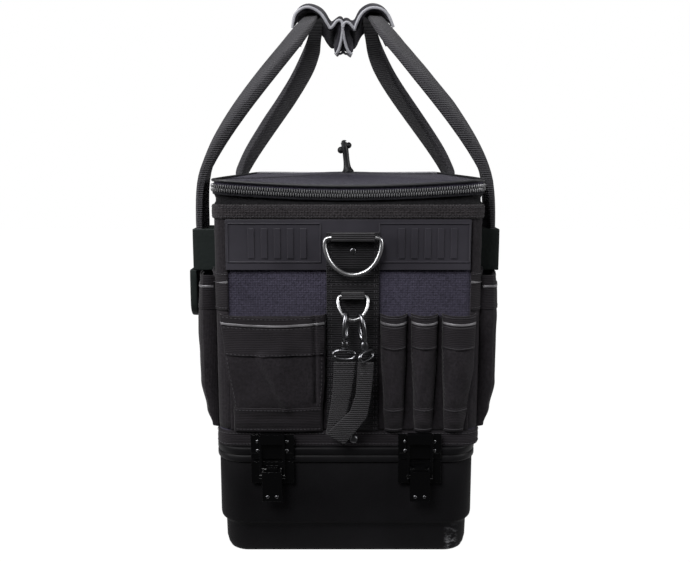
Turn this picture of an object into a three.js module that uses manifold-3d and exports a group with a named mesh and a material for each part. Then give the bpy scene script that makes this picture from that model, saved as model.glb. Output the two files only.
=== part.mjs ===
// Power tool bag: a cloth body with pockets on a moulded base, two padded carry handles and a zipped lid.
// Millimetres, +Z up. The near end, with the pockets and rings, faces -Y.
import * as THREE from 'three';
import { mergeVertices } from 'three/addons/utils/BufferGeometryUtils.js';
import Module from 'manifold-3d';

const wasm = await Module();
wasm.setup();

// Running gap between pieces that touch
const GAP = 0.3;
// Hard base
const BASE_HALF_WIDTH = 128;
const BASE_HALF_LENGTH = 220;
const BASE_HEIGHT = 98;
const BASE_WALL = 3;
const BASE_CORNER = 28;
const FOOT_HEIGHT = 31;
const FOOT_INSET = 5;
const RIM_HEIGHT = 15;
const RIM_PROUD = 1.8;
// Cloth body
const BODY_HALF_WIDTH = 127.5;
const BODY_HALF_LENGTH = 216;
const BODY_CORNER = 16;
const BODY_HEIGHT = 247;
const CLOTH = 2.6;
const BODY_SHIFT = 2;
const HEM_HEIGHT = 16;
const BINDING_HEIGHT = 13.5;
const BAND = 2.2;
// Lid and zip
const LID_RISE = 16;
const LID_LIP = 11;
const LID_WALL = 2.6;
const LID_SAG = 6;
const PIPING = 1.5;
const ZIP_WIDTH = 7.6;
const PULL_HEIGHT = 38;
// Moulded end panels
const PANEL_WIDTH = 232;
const PANEL_HEIGHT = 48;
const PANEL_THICK = 2.4;
const BAR_COUNT = 5;
const BAR_WIDTH = 6;
const BAR_HEIGHT = 29;
const BAR_PITCH = 12.4;
const RELIEF = 0.8;
// Webbing and rings
const WEBBING = 50;
const WEBBING_THICK = 2.2;
const WEBBING_X = 6.5;
const STRIP_ON_PANEL = 36;
const LARGE_RING = 58;
const LARGE_WIRE = 4;
const SMALL_RING = 32;
const SMALL_WIRE = 3;
const KEEPER_WALL = 1.3;
const RING_CLEARANCE = 0.5;
const HOOK_WIRE = 2.8;
const CLIP_STRAP = 19;
const CLIP_STRAP_THICK = 1.5;
// Pockets
const POCKET_WALL = 1.6;
const POCKET_HEIGHT = 117;
const LARGE_POCKET_WIDTH = 102;
const LARGE_POCKET_DEPTH = 14;
const SLIM_POCKET_DEPTH = 15;
const SLIM_POCKET_WIDTH = 26;
const SLIM_POCKET_PITCH = 29.5;
const WIDE_SLIM_POCKET_WIDTH = 33;
const SIDE_POCKET_LENGTH = 412;
const SIDE_POCKET_DEPTH = 25;
const SIDE_POCKET_WALL = 2.4;
// Handles
const HANDLE_WIDTH = 42;
const HANDLE_THICK = 10;
const HANDLE_RISE = 274.7;
const HANDLE_SPREAD = 147;
const HANDLE_STANCE = 165;
const HANDLE_LEAN = -4;
const TAB_HEIGHT = 42;
const TAB_WALL = 2;
const GRIP_LENGTH = 140;
const GRIP_WIDTH = 45;
const GRIP_WALL = 5;
const GRIP_DROP = 45;
// Draw latches
const LATCH_SPREAD = 72;
const LATCH_WIDTH = 42;
const LATCH_THICK = 2.2;
const LEVER_WIDTH = 19.4;
const LEVER_LENGTH = 31;
const LEVER_WALL = 1.6;
const PIN_RADIUS = 1.4;
const PIN_CLEARANCE = 0.4;

// Heights and faces that follow from these
const RIM_TOP = BASE_HEIGHT + GAP + RIM_HEIGHT;
const BODY_BOTTOM = RIM_TOP + GAP;
const BODY_TOP = BODY_BOTTOM + BODY_HEIGHT;
const HEM_TOP = BODY_BOTTOM + HEM_HEIGHT;
const COLLAR_TOP = BODY_TOP;
const BINDING_TOP = BODY_TOP - LID_LIP + 1;
const BINDING_BOTTOM = BINDING_TOP - BINDING_HEIGHT;
const LID_BOTTOM = COLLAR_TOP + GAP;
const LID_TOP = LID_BOTTOM + LID_RISE;
const END_FACE = -BODY_HALF_LENGTH - GAP;
const POCKET_BOTTOM = HEM_TOP + GAP;
const TAB_TOP = BINDING_BOTTOM - 13;

const cloth = { color: 0x1b1b22, roughness: 0.9, metalness: 0 };
const webbing = { color: 0x232224, roughness: 0.95, metalness: 0 };
const moulded = { color: 0x15161c, roughness: 0.55, metalness: 0 };
const base = { color: 0x0c0c0e, roughness: 0.6, metalness: 0 };
const reflective = { color: 0xb5b5bb, roughness: 0.5, metalness: 0.2 };
const nickel = { color: 0x8e8e92, roughness: 0.25, metalness: 1 };
const latchBlack = { color: 0x08080a, roughness: 0.2, metalness: 0.3 };
const rubber = { color: 0x1a1c1f, roughness: 0.7, metalness: 0 };

const bag = new THREE.Group();

function part(name, geometry, look, group = bag) {
  const mesh = new THREE.Mesh(geometry, new THREE.MeshStandardMaterial(look));
  mesh.name = name;
  group.add(mesh);
  return mesh;
}

// Signed volume of an indexed geometry, positive when its faces point out.
function signedVolume(points, faces) {
  let total = 0;
  const cross = new THREE.Vector3();
  for (let i = 0; i < faces.length; i += 3) {
    const [a, b, c] = [points[faces[i]], points[faces[i + 1]], points[faces[i + 2]]];
    total += a.dot(cross.crossVectors(b, c));
  }
  return total / 6;
}

// Triangles that close a flat ring, worked out in the plane that it lies in.
function capFaces(ring) {
  const normal = new THREE.Vector3();
  ring.forEach((p, i) => {
    const q = ring[(i + 1) % ring.length];
    normal.x += (p.y - q.y) * (p.z + q.z);
    normal.y += (p.z - q.z) * (p.x + q.x);
    normal.z += (p.x - q.x) * (p.y + q.y);
  });
  normal.normalize();
  const side = Math.abs(normal.z) > 0.6 ? new THREE.Vector3(1, 0, 0) : new THREE.Vector3(0, 0, 1);
  const u = new THREE.Vector3().crossVectors(side, normal).normalize();
  const v = new THREE.Vector3().crossVectors(normal, u);
  const flat = ring.map((p) => new THREE.Vector2(p.dot(u), p.dot(v)));
  return THREE.ShapeUtils.triangulateShape(flat, []);
}

// One closed body skinned over rings of equal length: capped at both ends, or joined end to end as a loop.
function skin(rings, loop = false) {
  const points = rings.flat();
  const count = rings[0].length;
  const faces = [];
  const steps = loop ? rings.length : rings.length - 1;
  for (let r = 0; r < steps; r += 1) {
    const lower = r * count;
    const upper = ((r + 1) % rings.length) * count;
    for (let i = 0; i < count; i += 1) {
      const j = (i + 1) % count;
      faces.push(lower + i, lower + j, upper + j, lower + i, upper + j, upper + i);
    }
  }
  if (!loop) {
    const last = (rings.length - 1) * count;
    const first = capFaces(rings[0]);
    const end = capFaces(rings[rings.length - 1]);
    first.forEach(([a, b, c]) => faces.push(a, c, b));
    end.forEach(([a, b, c]) => faces.push(last + a, last + b, last + c));
  }
  if (signedVolume(points, faces) < 0) {
    for (let i = 0; i < faces.length; i += 3) {
      [faces[i + 1], faces[i + 2]] = [faces[i + 2], faces[i + 1]];
    }
  }
  const geometry = new THREE.BufferGeometry().setFromPoints(points);
  geometry.setIndex(faces);
  return geometry;
}

// Rounded rectangle in plan, anticlockwise, at one height.
function planRing(halfWidth, halfLength, radius, z, steps = 4) {
  const ring = [];
  const corners = [[1, 1], [-1, 1], [-1, -1], [1, -1]];
  corners.forEach(([sx, sy], quarter) => {
    for (let i = 0; i <= steps; i += 1) {
      const angle = (quarter + i / steps) * Math.PI / 2;
      const x = sx * (halfWidth - radius) + radius * Math.cos(angle);
      const y = sy * (halfLength - radius) + radius * Math.sin(angle);
      ring.push(new THREE.Vector3(x, y, z));
    }
  });
  return ring;
}

function shifted(rings, dx, dy = 0, dz = 0) {
  rings.forEach((ring) => ring.forEach((p) => p.add(new THREE.Vector3(dx, dy, dz))));
  return rings;
}

function toSolid(geometry) {
  const bare = geometry.clone();
  bare.deleteAttribute('normal');
  bare.deleteAttribute('uv');
  const merged = mergeVertices(bare, 1e-4);
  const vertProperties = new Float32Array(merged.attributes.position.array);
  const triVerts = new Uint32Array(merged.index.array);
  return new wasm.Manifold(new wasm.Mesh({ numProp: 3, vertProperties, triVerts }));
}

function toGeometry(solid) {
  const mesh = solid.getMesh();
  const geometry = new THREE.BufferGeometry();
  geometry.setAttribute('position', new THREE.BufferAttribute(new Float32Array(mesh.vertProperties), 3));
  geometry.setIndex(new THREE.BufferAttribute(new Uint32Array(mesh.triVerts), 1));
  return geometry;
}

function fuse(...geometries) {
  return toGeometry(geometries.map(toSolid).reduce((all, next) => all.add(next)));
}

function cut(geometry, ...tools) {
  return toGeometry(tools.map(toSolid).reduce((left, tool) => left.subtract(tool), toSolid(geometry)));
}

// A box given by its lowest and highest corner.
function block(x0, y0, z0, x1, y1, z1) {
  const geometry = new THREE.BoxGeometry(x1 - x0, y1 - y0, z1 - z0);
  return geometry.translate((x0 + x1) / 2, (y0 + y1) / 2, (z0 + z1) / 2);
}

// A round bar along X.
function crossPin(radius, x0, x1, y, z, sides = 12) {
  const geometry = new THREE.CylinderGeometry(radius, radius, x1 - x0, sides);
  return geometry.rotateZ(Math.PI / 2).translate((x0 + x1) / 2, y, z);
}

// Round wire of one or more radii along points; the section turns with the path and stays square to it.
function wire(points, radii, loop = false, sides = 8) {
  const radiusAt = (i) => (Array.isArray(radii) ? radii[i] : radii);
  const last = points.length - 1;
  const rings = points.map((p, i) => {
    const before = points[loop ? (i + last) % points.length : Math.max(i - 1, 0)];
    const after = points[loop ? (i + 1) % points.length : Math.min(i + 1, last)];
    const tangent = after.clone().sub(before).normalize();
    const aside = Math.abs(tangent.y) > 0.8 ? new THREE.Vector3(1, 0, 0) : new THREE.Vector3(0, 1, 0);
    const u = aside.sub(tangent.clone().multiplyScalar(aside.dot(tangent))).normalize();
    const v = new THREE.Vector3().crossVectors(tangent, u);
    return Array.from({ length: sides }, (_, k) => {
      const angle = (2 * Math.PI * k) / sides;
      const r = radiusAt(i);
      return p.clone().addScaledVector(u, r * Math.cos(angle)).addScaledVector(v, r * Math.sin(angle));
    });
  });
  return skin(rings, loop);
}

// Hard base: a foot, a slanted step and an upright tub, open at the top.
// inset is a share of the foot's inset, z a share of the height of the foot (low) or the tub (high).
const FOOT_PROFILE = [
  { inset: 2.6, z: 0 },
  { inset: 1.5, z: 0.06 },
  { inset: 1.15, z: 0.16 },
  { inset: 1, z: 0.32 },
  { inset: 1, z: 0.94 },
];
const STEP_RISE = 5;

function baseRing(inset, z) {
  return planRing(BASE_HALF_WIDTH - inset, BASE_HALF_LENGTH - inset, BASE_CORNER - inset, z, 5);
}

function baseTub() {
  const rings = FOOT_PROFILE.map((row) => baseRing(row.inset * FOOT_INSET, row.z * FOOT_HEIGHT));
  rings.push(baseRing(0.6, FOOT_HEIGHT + STEP_RISE));
  rings.push(baseRing(0, BASE_HEIGHT * 0.6));
  rings.push(baseRing(0, BASE_HEIGHT));
  rings.push(baseRing(BASE_WALL, BASE_HEIGHT));
  rings.push(baseRing(BASE_WALL + 0.6, FOOT_HEIGHT + STEP_RISE + 1));
  rings.push(baseRing(BASE_WALL + FOOT_INSET, FOOT_HEIGHT));
  rings.push(baseRing(BASE_WALL + FOOT_INSET * 1.4, BASE_WALL + 2));
  rings.push(baseRing(BASE_WALL + FOOT_INSET * 2.4, BASE_WALL + 1));
  return skin(rings);
}
part('base_tub', baseTub(), base);

// Rim round the base with a groove half way up: out is its share of RIM_PROUD, up its share of RIM_HEIGHT.
const RIM_PROFILE = [
  { out: 0.2, up: 0 },
  { out: 1, up: 0.12 },
  { out: 1, up: 0.38 },
  { out: 0.35, up: 0.46 },
  { out: 1, up: 0.54 },
  { out: 1, up: 0.9 },
  { out: 0.4, up: 1 },
];

function baseRim() {
  const foot = BASE_HEIGHT + GAP;
  const rings = RIM_PROFILE.map((row) => baseRing(-row.out * RIM_PROUD, foot + row.up * RIM_HEIGHT));
  rings.push(baseRing(BASE_WALL, RIM_TOP));
  rings.push(baseRing(BASE_WALL, foot));
  return skin(rings, true);
}
part('base_rim', baseRim(), base);

// Cloth body: an open sleeve whose walls swell a little at half height.
// z is a share of the body's height, swell in millimetres is added to its half width.
const BODY_PROFILE = [
  { z: 0, swell: -0.6 },
  { z: 0.08, swell: 0 },
  { z: 0.5, swell: 0.4 },
  { z: 0.84, swell: 0 },
  { z: 0.92, swell: -0.4 },
  { z: 0.95, swell: -2.4 },
  { z: 1, swell: -3 },
];

function bodyRing(grow, z, corner = BODY_CORNER) {
  return planRing(BODY_HALF_WIDTH + grow, BODY_HALF_LENGTH + grow, Math.max(corner + grow, 2), z);
}

function bodyShell() {
  const at = (row, wall) => bodyRing(row.swell - wall, BODY_BOTTOM + row.z * BODY_HEIGHT);
  const outer = BODY_PROFILE.map((row) => at(row, 0));
  const inner = BODY_PROFILE.map((row) => at(row, CLOTH)).reverse();
  return skin(shifted([...outer, ...inner], BODY_SHIFT), true);
}
part('body_shell', bodyShell(), cloth);

// A flat band round the body between two heights.
function bodyBand(low, high, thick = BAND) {
  const out = 0.5 + GAP;
  const rings = [
    bodyRing(out, low),
    bodyRing(out + thick, low + 0.8),
    bodyRing(out + thick, high - 0.8),
    bodyRing(out, high),
  ];
  return skin(shifted(rings, BODY_SHIFT), true);
}
part('hem_band', bodyBand(BODY_BOTTOM, HEM_TOP), webbing);
part('top_binding', bodyBand(BINDING_BOTTOM, BINDING_TOP, 2.6), webbing);

// The zip edge of the lid sags in the middle of each end.
function sagged(rings) {
  rings.forEach((ring) => ring.forEach((p) => {
    const across = Math.max(0, Math.cos((Math.PI * p.x) / (2 * BODY_HALF_WIDTH + 8)));
    const nearEnd = THREE.MathUtils.smoothstep(Math.abs(p.y), BODY_HALF_LENGTH * 0.55, BODY_HALF_LENGTH);
    const high = THREE.MathUtils.smoothstep(p.z, LID_BOTTOM, LID_BOTTOM + LID_RISE * 0.3);
    p.z -= LID_SAG * across * nearEnd * high;
  }));
  return rings;
}

// Lid: a lip round the mouth and a soft crowned top; out is millimetres past the body, rise a share of LID_RISE.
const LID_PROFILE = [
  { out: -0.86 * BODY_HALF_WIDTH, rise: 1 },
  { out: -0.47 * BODY_HALF_WIDTH, rise: 0.97 },
  { out: -0.19 * BODY_HALF_WIDTH, rise: 0.88 },
  { out: -5, rise: 0.78 },
  { out: 0.6, rise: 0.68 },
  { out: 1.2, rise: 0.6 },
  { out: 1.2, rise: 0.3 },
  { out: 0.2, rise: 0.12 },
  { out: -2.8, rise: 0 },
];

function lidRings(inside) {
  return LID_PROFILE.map((row) => {
    const grow = row.out - (inside ? LID_WALL : 0);
    const drop = inside && row.rise > 0.5 ? LID_WALL : 0;
    const z = LID_BOTTOM + row.rise * LID_RISE - drop;
    return planRing(BODY_HALF_WIDTH + grow, BODY_HALF_LENGTH + grow, Math.max(BODY_CORNER + grow, 6), z, 5);
  });
}

function lid() {
  return skin(shifted(sagged([...lidRings(false), ...lidRings(true).reverse()]), BODY_SHIFT));
}
part('lid', lid(), cloth);

function zipChain() {
  const low = LID_BOTTOM + LID_RISE * 0.3;
  const face = (out, z) => planRing(BODY_HALF_WIDTH + out, BODY_HALF_LENGTH + out, BODY_CORNER + out, z, 5);
  const near = 1.2 + GAP;
  const top = low + ZIP_WIDTH * 0.62;
  const rings = [face(near, low), face(near + 1.4, low + 0.6), face(near + 1.4, top - 0.6), face(near, top)];
  return skin(shifted(sagged(rings), BODY_SHIFT), true);
}
part('zip_chain', zipChain(), nickel);

function lidPiping() {
  const centre = LID_BOTTOM + LID_RISE * 0.68 + PIPING * 0.9;
  const rings = Array.from({ length: 6 }, (_, k) => {
    const angle = (Math.PI * k) / 3 + Math.PI / 6;
    const out = 1.4 + GAP + PIPING * Math.cos(angle);
    const z = centre + PIPING * Math.sin(angle);
    return planRing(BODY_HALF_WIDTH + out, BODY_HALF_LENGTH + out, BODY_CORNER + out, z, 5);
  });
  return skin(shifted(sagged(rings), BODY_SHIFT), true);
}
part('lid_piping', lidPiping(), reflective);

// Standing moulded pull: a flared foot, a bent stem and a knob with two lobes.
// x is millimetres along X, z and radius follow the pull's height.
const PULL_STEM = [
  { x: 2.5, z: 0, radius: 0.22 },
  { x: 2.5, z: 0.06, radius: 0.16 },
  { x: 1.5, z: 0.14, radius: 0.1 },
  { x: 1, z: 0.35, radius: 0.085 },
  { x: 0, z: 0.55, radius: 0.085 },
  { x: -1, z: 0.75, radius: 0.1 },
  { x: -2, z: 0.95, radius: 0.09 },
];
const PULL_LOBES = [
  { x: -6, z: 0.7, radius: 0.1 },
  { x: 3.2, z: 0.85, radius: 0.09 },
  { x: -2, z: 0.92, radius: 0.09 },
];

function zipPull() {
  const foot = LID_TOP + GAP;
  const stem = PULL_STEM.map((row) => new THREE.Vector3(row.x, 0, foot + row.z * PULL_HEIGHT));
  const lobes = PULL_LOBES.map((row) => {
    const ball = new THREE.SphereGeometry(row.radius * PULL_HEIGHT, 8, 6);
    return ball.translate(row.x, 0, foot + row.z * PULL_HEIGHT);
  });
  return fuse(wire(stem, PULL_STEM.map((row) => row.radius * PULL_HEIGHT)), ...lobes);
}
part('zip_pull', zipPull(), webbing);

// The far end repeats the near one, turned half round about the body's own middle.
function toRear(geometry) {
  return geometry.rotateZ(Math.PI).translate(2 * BODY_SHIFT, 0, 0);
}

// Moulded end panel: a plate with two raised fields, each with a row of raised bars.
function endPanel() {
  const top = BINDING_BOTTOM - GAP;
  const low = top - PANEL_HEIGHT;
  const back = END_FACE - 0.6;
  const face = back - PANEL_THICK;
  const half = PANEL_WIDTH / 2;
  const fieldInner = WEBBING / 2 + 4;
  const pieces = [block(-half, face, low, half, back, top)];
  const stripCentre = WEBBING_X - BODY_SHIFT;
  for (const side of [-1, 1]) {
    const [near, far] = [stripCentre + side * fieldInner, side * (half - 3)].sort((a, b) => a - b);
    pieces.push(block(near, face - RELIEF, low + 6, far, back, top - 5));
    const centre = (near + far) / 2;
    for (let i = 0; i < BAR_COUNT; i += 1) {
      const x = centre + (i - (BAR_COUNT - 1) / 2) * BAR_PITCH;
      const [barLow, barHigh] = [top - 10 - BAR_HEIGHT, top - 10];
      pieces.push(block(x - BAR_WIDTH / 2, face - 2 * RELIEF, barLow, x + BAR_WIDTH / 2, back, barHigh));
    }
  }
  return fuse(...pieces).translate(BODY_SHIFT, 0, 0);
}
const PANEL_FACE = END_FACE - 0.6 - PANEL_THICK;
const PANEL_LOW = BINDING_BOTTOM - GAP - PANEL_HEIGHT;
part('end_panel_front', endPanel(), moulded);
part('end_panel_rear', toRear(endPanel()), moulded);

// Webbing strip: over the panel at the top, then back against the cloth and down to the hem.
const STRIP_FACE = END_FACE - 0.6 - WEBBING_THICK;
const STRIP_TOP_FACE = PANEL_FACE - GAP - WEBBING_THICK;

function webbingStrip() {
  const rows = [
    { z: HEM_TOP + GAP, back: END_FACE - 0.6 },
    { z: PANEL_LOW - 8, back: END_FACE - 0.6 },
    { z: PANEL_LOW - 2, back: PANEL_FACE - GAP },
    { z: PANEL_LOW + STRIP_ON_PANEL, back: PANEL_FACE - GAP },
  ];
  const rings = rows.map(({ z, back }) => {
    const corners = [[-1, back], [1, back], [1, back - WEBBING_THICK], [-1, back - WEBBING_THICK]];
    return corners.map(([side, y]) => new THREE.Vector3(WEBBING_X + side * WEBBING / 2, y, z));
  });
  return skin(rings);
}
part('webbing_front', webbingStrip(), webbing);
part('webbing_rear', toRear(webbingStrip()), webbing);

// D-ring: a straight bar on top with tight corners and a round bow below; drop is its height without the wire.
function dRingPath(width, drop, wireThick) {
  const half = (width - wireThick) / 2;
  const corner = wireThick * 1.2;
  const points = [new THREE.Vector2(-half + corner, 0), new THREE.Vector2(half - corner, 0)];
  points.push(new THREE.Vector2(half - corner * 0.3, -corner * 0.3));
  const bow = 12;
  for (let i = 0; i <= bow; i += 1) {
    const angle = (Math.PI * i) / bow;
    points.push(new THREE.Vector2(half * Math.cos(angle), -corner - (drop - corner) * Math.sin(angle)));
  }
  points.push(new THREE.Vector2(-half + corner * 0.3, -corner * 0.3));
  return points;
}

function dRing(width, drop, wireThick, tilt = 0) {
  const path = dRingPath(width, drop, wireThick);
  const points = path.map((p) => new THREE.Vector3(p.x, p.y * Math.sin(tilt), p.y * Math.cos(tilt)));
  return wire(points, wireThick / 2, true, 8);
}

// Keeper: a strap loop round the ring's bar, along X.
function ringKeeper(width, wireThick) {
  const hole = wireThick / 2 + RING_CLEARANCE;
  const rim = hole + KEEPER_WALL;
  const square = (half, x) => [[-1, -1], [1, -1], [1, 1], [-1, 1]].map(
    ([sy, sz]) => new THREE.Vector3(x, sy * half, sz * half),
  );
  const end = width / 2;
  return skin([square(rim, -end), square(rim, end), square(hole, end), square(hole, -end)], true);
}

const LARGE_RING_DROP = 36;
const LARGE_KEEPER_REACH = LARGE_WIRE / 2 + RING_CLEARANCE + KEEPER_WALL;
const LARGE_RING_Y = STRIP_TOP_FACE - GAP - LARGE_KEEPER_REACH;
const LARGE_RING_Z = PANEL_LOW + 32;
const LARGE_KEEPER_WIDTH = LARGE_RING - 2 * LARGE_WIRE * 2.2;

for (const [end, facing] of [['front', (geometry) => geometry], ['rear', toRear]]) {
  const keeper = ringKeeper(LARGE_KEEPER_WIDTH, LARGE_WIRE).translate(WEBBING_X, LARGE_RING_Y, LARGE_RING_Z);
  const ring = dRing(LARGE_RING, LARGE_RING_DROP, LARGE_WIRE).translate(WEBBING_X, LARGE_RING_Y, LARGE_RING_Z);
  part(`ring_keeper_${end}`, facing(keeper), webbing);
  part(`ring_large_${end}`, facing(ring), nickel);
}

// Small D-ring on its own keeper, pushed out at the bottom by the hooks that hang on it.
const SMALL_RING_DROP = 24;
const SMALL_RING_TILT = 0.42;
const SMALL_KEEPER_REACH = SMALL_WIRE / 2 + RING_CLEARANCE + KEEPER_WALL;
const SMALL_RING_Y = STRIP_FACE - GAP - SMALL_KEEPER_REACH;
const SMALL_RING_Z = PANEL_LOW - 24;
const SMALL_KEEPER_WIDTH = SMALL_RING - 2 * SMALL_WIRE * 1.7;
const smallKeeper = ringKeeper(SMALL_KEEPER_WIDTH, SMALL_WIRE);
const smallRing = dRing(SMALL_RING, SMALL_RING_DROP, SMALL_WIRE, SMALL_RING_TILT);
part('small_keeper', smallKeeper.translate(WEBBING_X, SMALL_RING_Y, SMALL_RING_Z), webbing);
part('ring_small', smallRing.translate(WEBBING_X, SMALL_RING_Y, SMALL_RING_Z), nickel);

// Snap hook: an oval wire hung on the ring, a swivel under it and a flat loop for the strap.
const HOOK_LENGTH = 30;
const HOOK_HALF = 8;
const SWIVEL_LENGTH = 9;
const HOOK_LOOP_HALF = 10.5;
const HOOK_LOOP_DROP = 9;

function snapHook(turn, loopTurn, lean) {
  const side = Array.from({ length: 14 }, (_, i) => {
    const angle = (2 * Math.PI * i) / 14;
    const z = -HOOK_LENGTH / 2 + (HOOK_LENGTH / 2 - HOOK_WIRE / 2) * Math.cos(angle);
    return new THREE.Vector3(HOOK_HALF * Math.sin(angle), 0, z);
  });
  const oval = wire(side, HOOK_WIRE / 2, true, 6).rotateZ(turn);
  const swivel = new THREE.CylinderGeometry(3.4, 4.2, SWIVEL_LENGTH, 10).rotateX(Math.PI / 2);
  swivel.translate(0, 0, -HOOK_LENGTH - SWIVEL_LENGTH / 2 + 2);
  const loopPath = Array.from({ length: 12 }, (_, i) => {
    const angle = (2 * Math.PI * i) / 12;
    const z = -HOOK_LENGTH - SWIVEL_LENGTH + 1 - HOOK_LOOP_DROP / 2 + (HOOK_LOOP_DROP / 2) * Math.cos(angle);
    return new THREE.Vector3(HOOK_LOOP_HALF * Math.sign(Math.sin(angle)) * Math.abs(Math.sin(angle)) ** 0.6, 0, z);
  });
  return fuse(oval, swivel, wire(loopPath, HOOK_WIRE / 2, true, 6).rotateZ(loopTurn)).rotateY(lean);
}
const HOOK_TOP = SMALL_RING_Z - SMALL_RING_DROP * Math.cos(SMALL_RING_TILT) + 8;
const HOOK_Y = SMALL_RING_Y - SMALL_RING_DROP * Math.sin(SMALL_RING_TILT) - 1;
const HOOK_PLACES = [
  { name: 'snap_hook_left', x: -6.4, z: 1.4, turn: 1.4, loopTurn: 0, lean: 0.04 },
  { name: 'snap_hook_right', x: 5.8, z: 0, turn: 1.9, loopTurn: 0.9, lean: -0.16 },
];
HOOK_PLACES.forEach((place) => {
  const hook = snapHook(place.turn, place.loopTurn, place.lean);
  part(place.name, hook.translate(WEBBING_X + place.x, HOOK_Y, HOOK_TOP + place.z), nickel);
});

// Pocket: an open pouch whose front swells. The plan of each level runs along the back, then round the front.
// z is a share of the height, swell a share of the depth, taper a share of the width taken off each side.
const POCKET_LEVELS = [
  { z: 0, swell: 0.35, taper: 0.05 },
  { z: 0.1, swell: 0.6, taper: 0.02 },
  { z: 0.3, swell: 0.95, taper: 0 },
  { z: 0.6, swell: 1, taper: 0 },
  { z: 0.85, swell: 0.85, taper: 0 },
  { z: 1, swell: 0.8, taper: 0 },
];

function pouchRing(width, depth, z, boxy, steps = 8) {
  const ring = [new THREE.Vector3(-width / 2, 0, z), new THREE.Vector3(width / 2, 0, z)];
  for (let i = 1; i < steps; i += 1) {
    const angle = (Math.PI * i) / steps;
    const across = Math.sign(Math.cos(angle)) * Math.abs(Math.cos(angle)) ** boxy;
    ring.push(new THREE.Vector3((across * width) / 2, -depth * Math.sin(angle) ** boxy, z));
  }
  return ring;
}

function pouch(width, depth, height, wall, levels, boxy = 0.5) {
  const level = (row, inset) => {
    const ring = pouchRing(width * (1 - 2 * row.taper) - 2 * inset, depth * row.swell - 2 * inset, row.z * height, boxy);
    return inset ? shifted([ring], 0, -inset)[0] : ring;
  };
  const outer = levels.map((row) => level(row, 0));
  const inner = levels.map((row) => level(row, wall)).reverse();
  shifted([inner[inner.length - 1]], 0, 0, wall);
  return skin([...outer, ...inner]);
}

// Reflective strip across a pouch's front, standing just off it.
function pouchTrim(width, depth, boxy, z, tall, thick) {
  const bowed = (grow, height) => pouchRing(width + 2 * grow, depth + grow, height, boxy).slice(1);
  const rings = [z, z + tall].map((height) => {
    const inner = bowed(GAP, height).slice(1, -1);
    const outer = bowed(GAP + thick, height).slice(1, -1).reverse();
    return [...inner, ...outer];
  });
  return skin(rings);
}

const TRIM_TALL = 2.2;
const TRIM_THICK = 0.8;
const TRIM_SHARE = 0.92;
const TRIM_SWELL = 0.86;
const LARGE_POCKET_X = WEBBING_X - WEBBING / 2 - 1 - LARGE_POCKET_WIDTH / 2;
const SLIM_POCKET_X = WEBBING_X + WEBBING / 2 + 1.5 + SLIM_POCKET_WIDTH / 2;
const WIDE_SLIM_POCKET_X = SLIM_POCKET_X + 1.5 * SLIM_POCKET_PITCH + WIDE_SLIM_POCKET_WIDTH / 2 + 1.75;
const POCKETS = [
  { name: 'pocket_large', x: LARGE_POCKET_X, width: LARGE_POCKET_WIDTH, depth: LARGE_POCKET_DEPTH, boxy: 0.35 },
  { name: 'slim_pocket_1', x: SLIM_POCKET_X, width: SLIM_POCKET_WIDTH, depth: SLIM_POCKET_DEPTH, boxy: 0.6 },
  { name: 'slim_pocket_2', x: SLIM_POCKET_X + SLIM_POCKET_PITCH, width: SLIM_POCKET_WIDTH, depth: SLIM_POCKET_DEPTH, boxy: 0.6 },
  { name: 'slim_pocket_3', x: WIDE_SLIM_POCKET_X, width: WIDE_SLIM_POCKET_WIDTH, depth: SLIM_POCKET_DEPTH, boxy: 0.6 },
];
POCKETS.forEach(({ name, x, width, depth, boxy }) => {
  const back = END_FACE - 0.6;
  const pocket = pouch(width, depth, POCKET_HEIGHT, POCKET_WALL, POCKET_LEVELS, boxy);
  part(name, pocket.translate(x, back, POCKET_BOTTOM), cloth);
  const trim = pouchTrim(width, depth * TRIM_SWELL, boxy, TRIM_SHARE * POCKET_HEIGHT, TRIM_TALL, TRIM_THICK);
  part(`${name}_piping`, trim.translate(x, back, POCKET_BOTTOM), reflective);
});

// Side pockets: long pouches on both flanks, widest low down.
const SIDE_LEVELS = [
  { z: 0, swell: 0.45, taper: 0.02 },
  { z: 0.1, swell: 0.72, taper: 0.012 },
  { z: 0.28, swell: 1, taper: 0 },
  { z: 0.7, swell: 1, taper: 0 },
  { z: 0.86, swell: 0.92, taper: 0 },
  { z: 1, swell: 0.84, taper: 0 },
];
const SIDE_BOXY = 0.28;
const SIDE_TRIM_SWELL = 0.9;
const SIDE_POCKET_HEIGHT = TAB_TOP - TAB_HEIGHT - GAP - POCKET_BOTTOM;
const SIDE_FACE = BODY_HALF_WIDTH + 0.6 + GAP;
for (const [side, turn] of [['left', -Math.PI / 2], ['right', Math.PI / 2]]) {
  const pocket = pouch(SIDE_POCKET_LENGTH, SIDE_POCKET_DEPTH, SIDE_POCKET_HEIGHT, SIDE_POCKET_WALL, SIDE_LEVELS, SIDE_BOXY);
  const x = BODY_SHIFT + Math.sign(turn) * SIDE_FACE;
  part(`side_pocket_${side}`, pocket.rotateZ(turn).translate(x, 0, POCKET_BOTTOM), cloth);
  const trimZ = TRIM_SHARE * SIDE_POCKET_HEIGHT;
  const trim = pouchTrim(SIDE_POCKET_LENGTH, SIDE_POCKET_DEPTH * SIDE_TRIM_SWELL, SIDE_BOXY, trimZ, TRIM_TALL, TRIM_THICK);
  part(`side_piping_${side}`, trim.rotateZ(turn).translate(x, 0, POCKET_BOTTOM), reflective);
}

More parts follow.
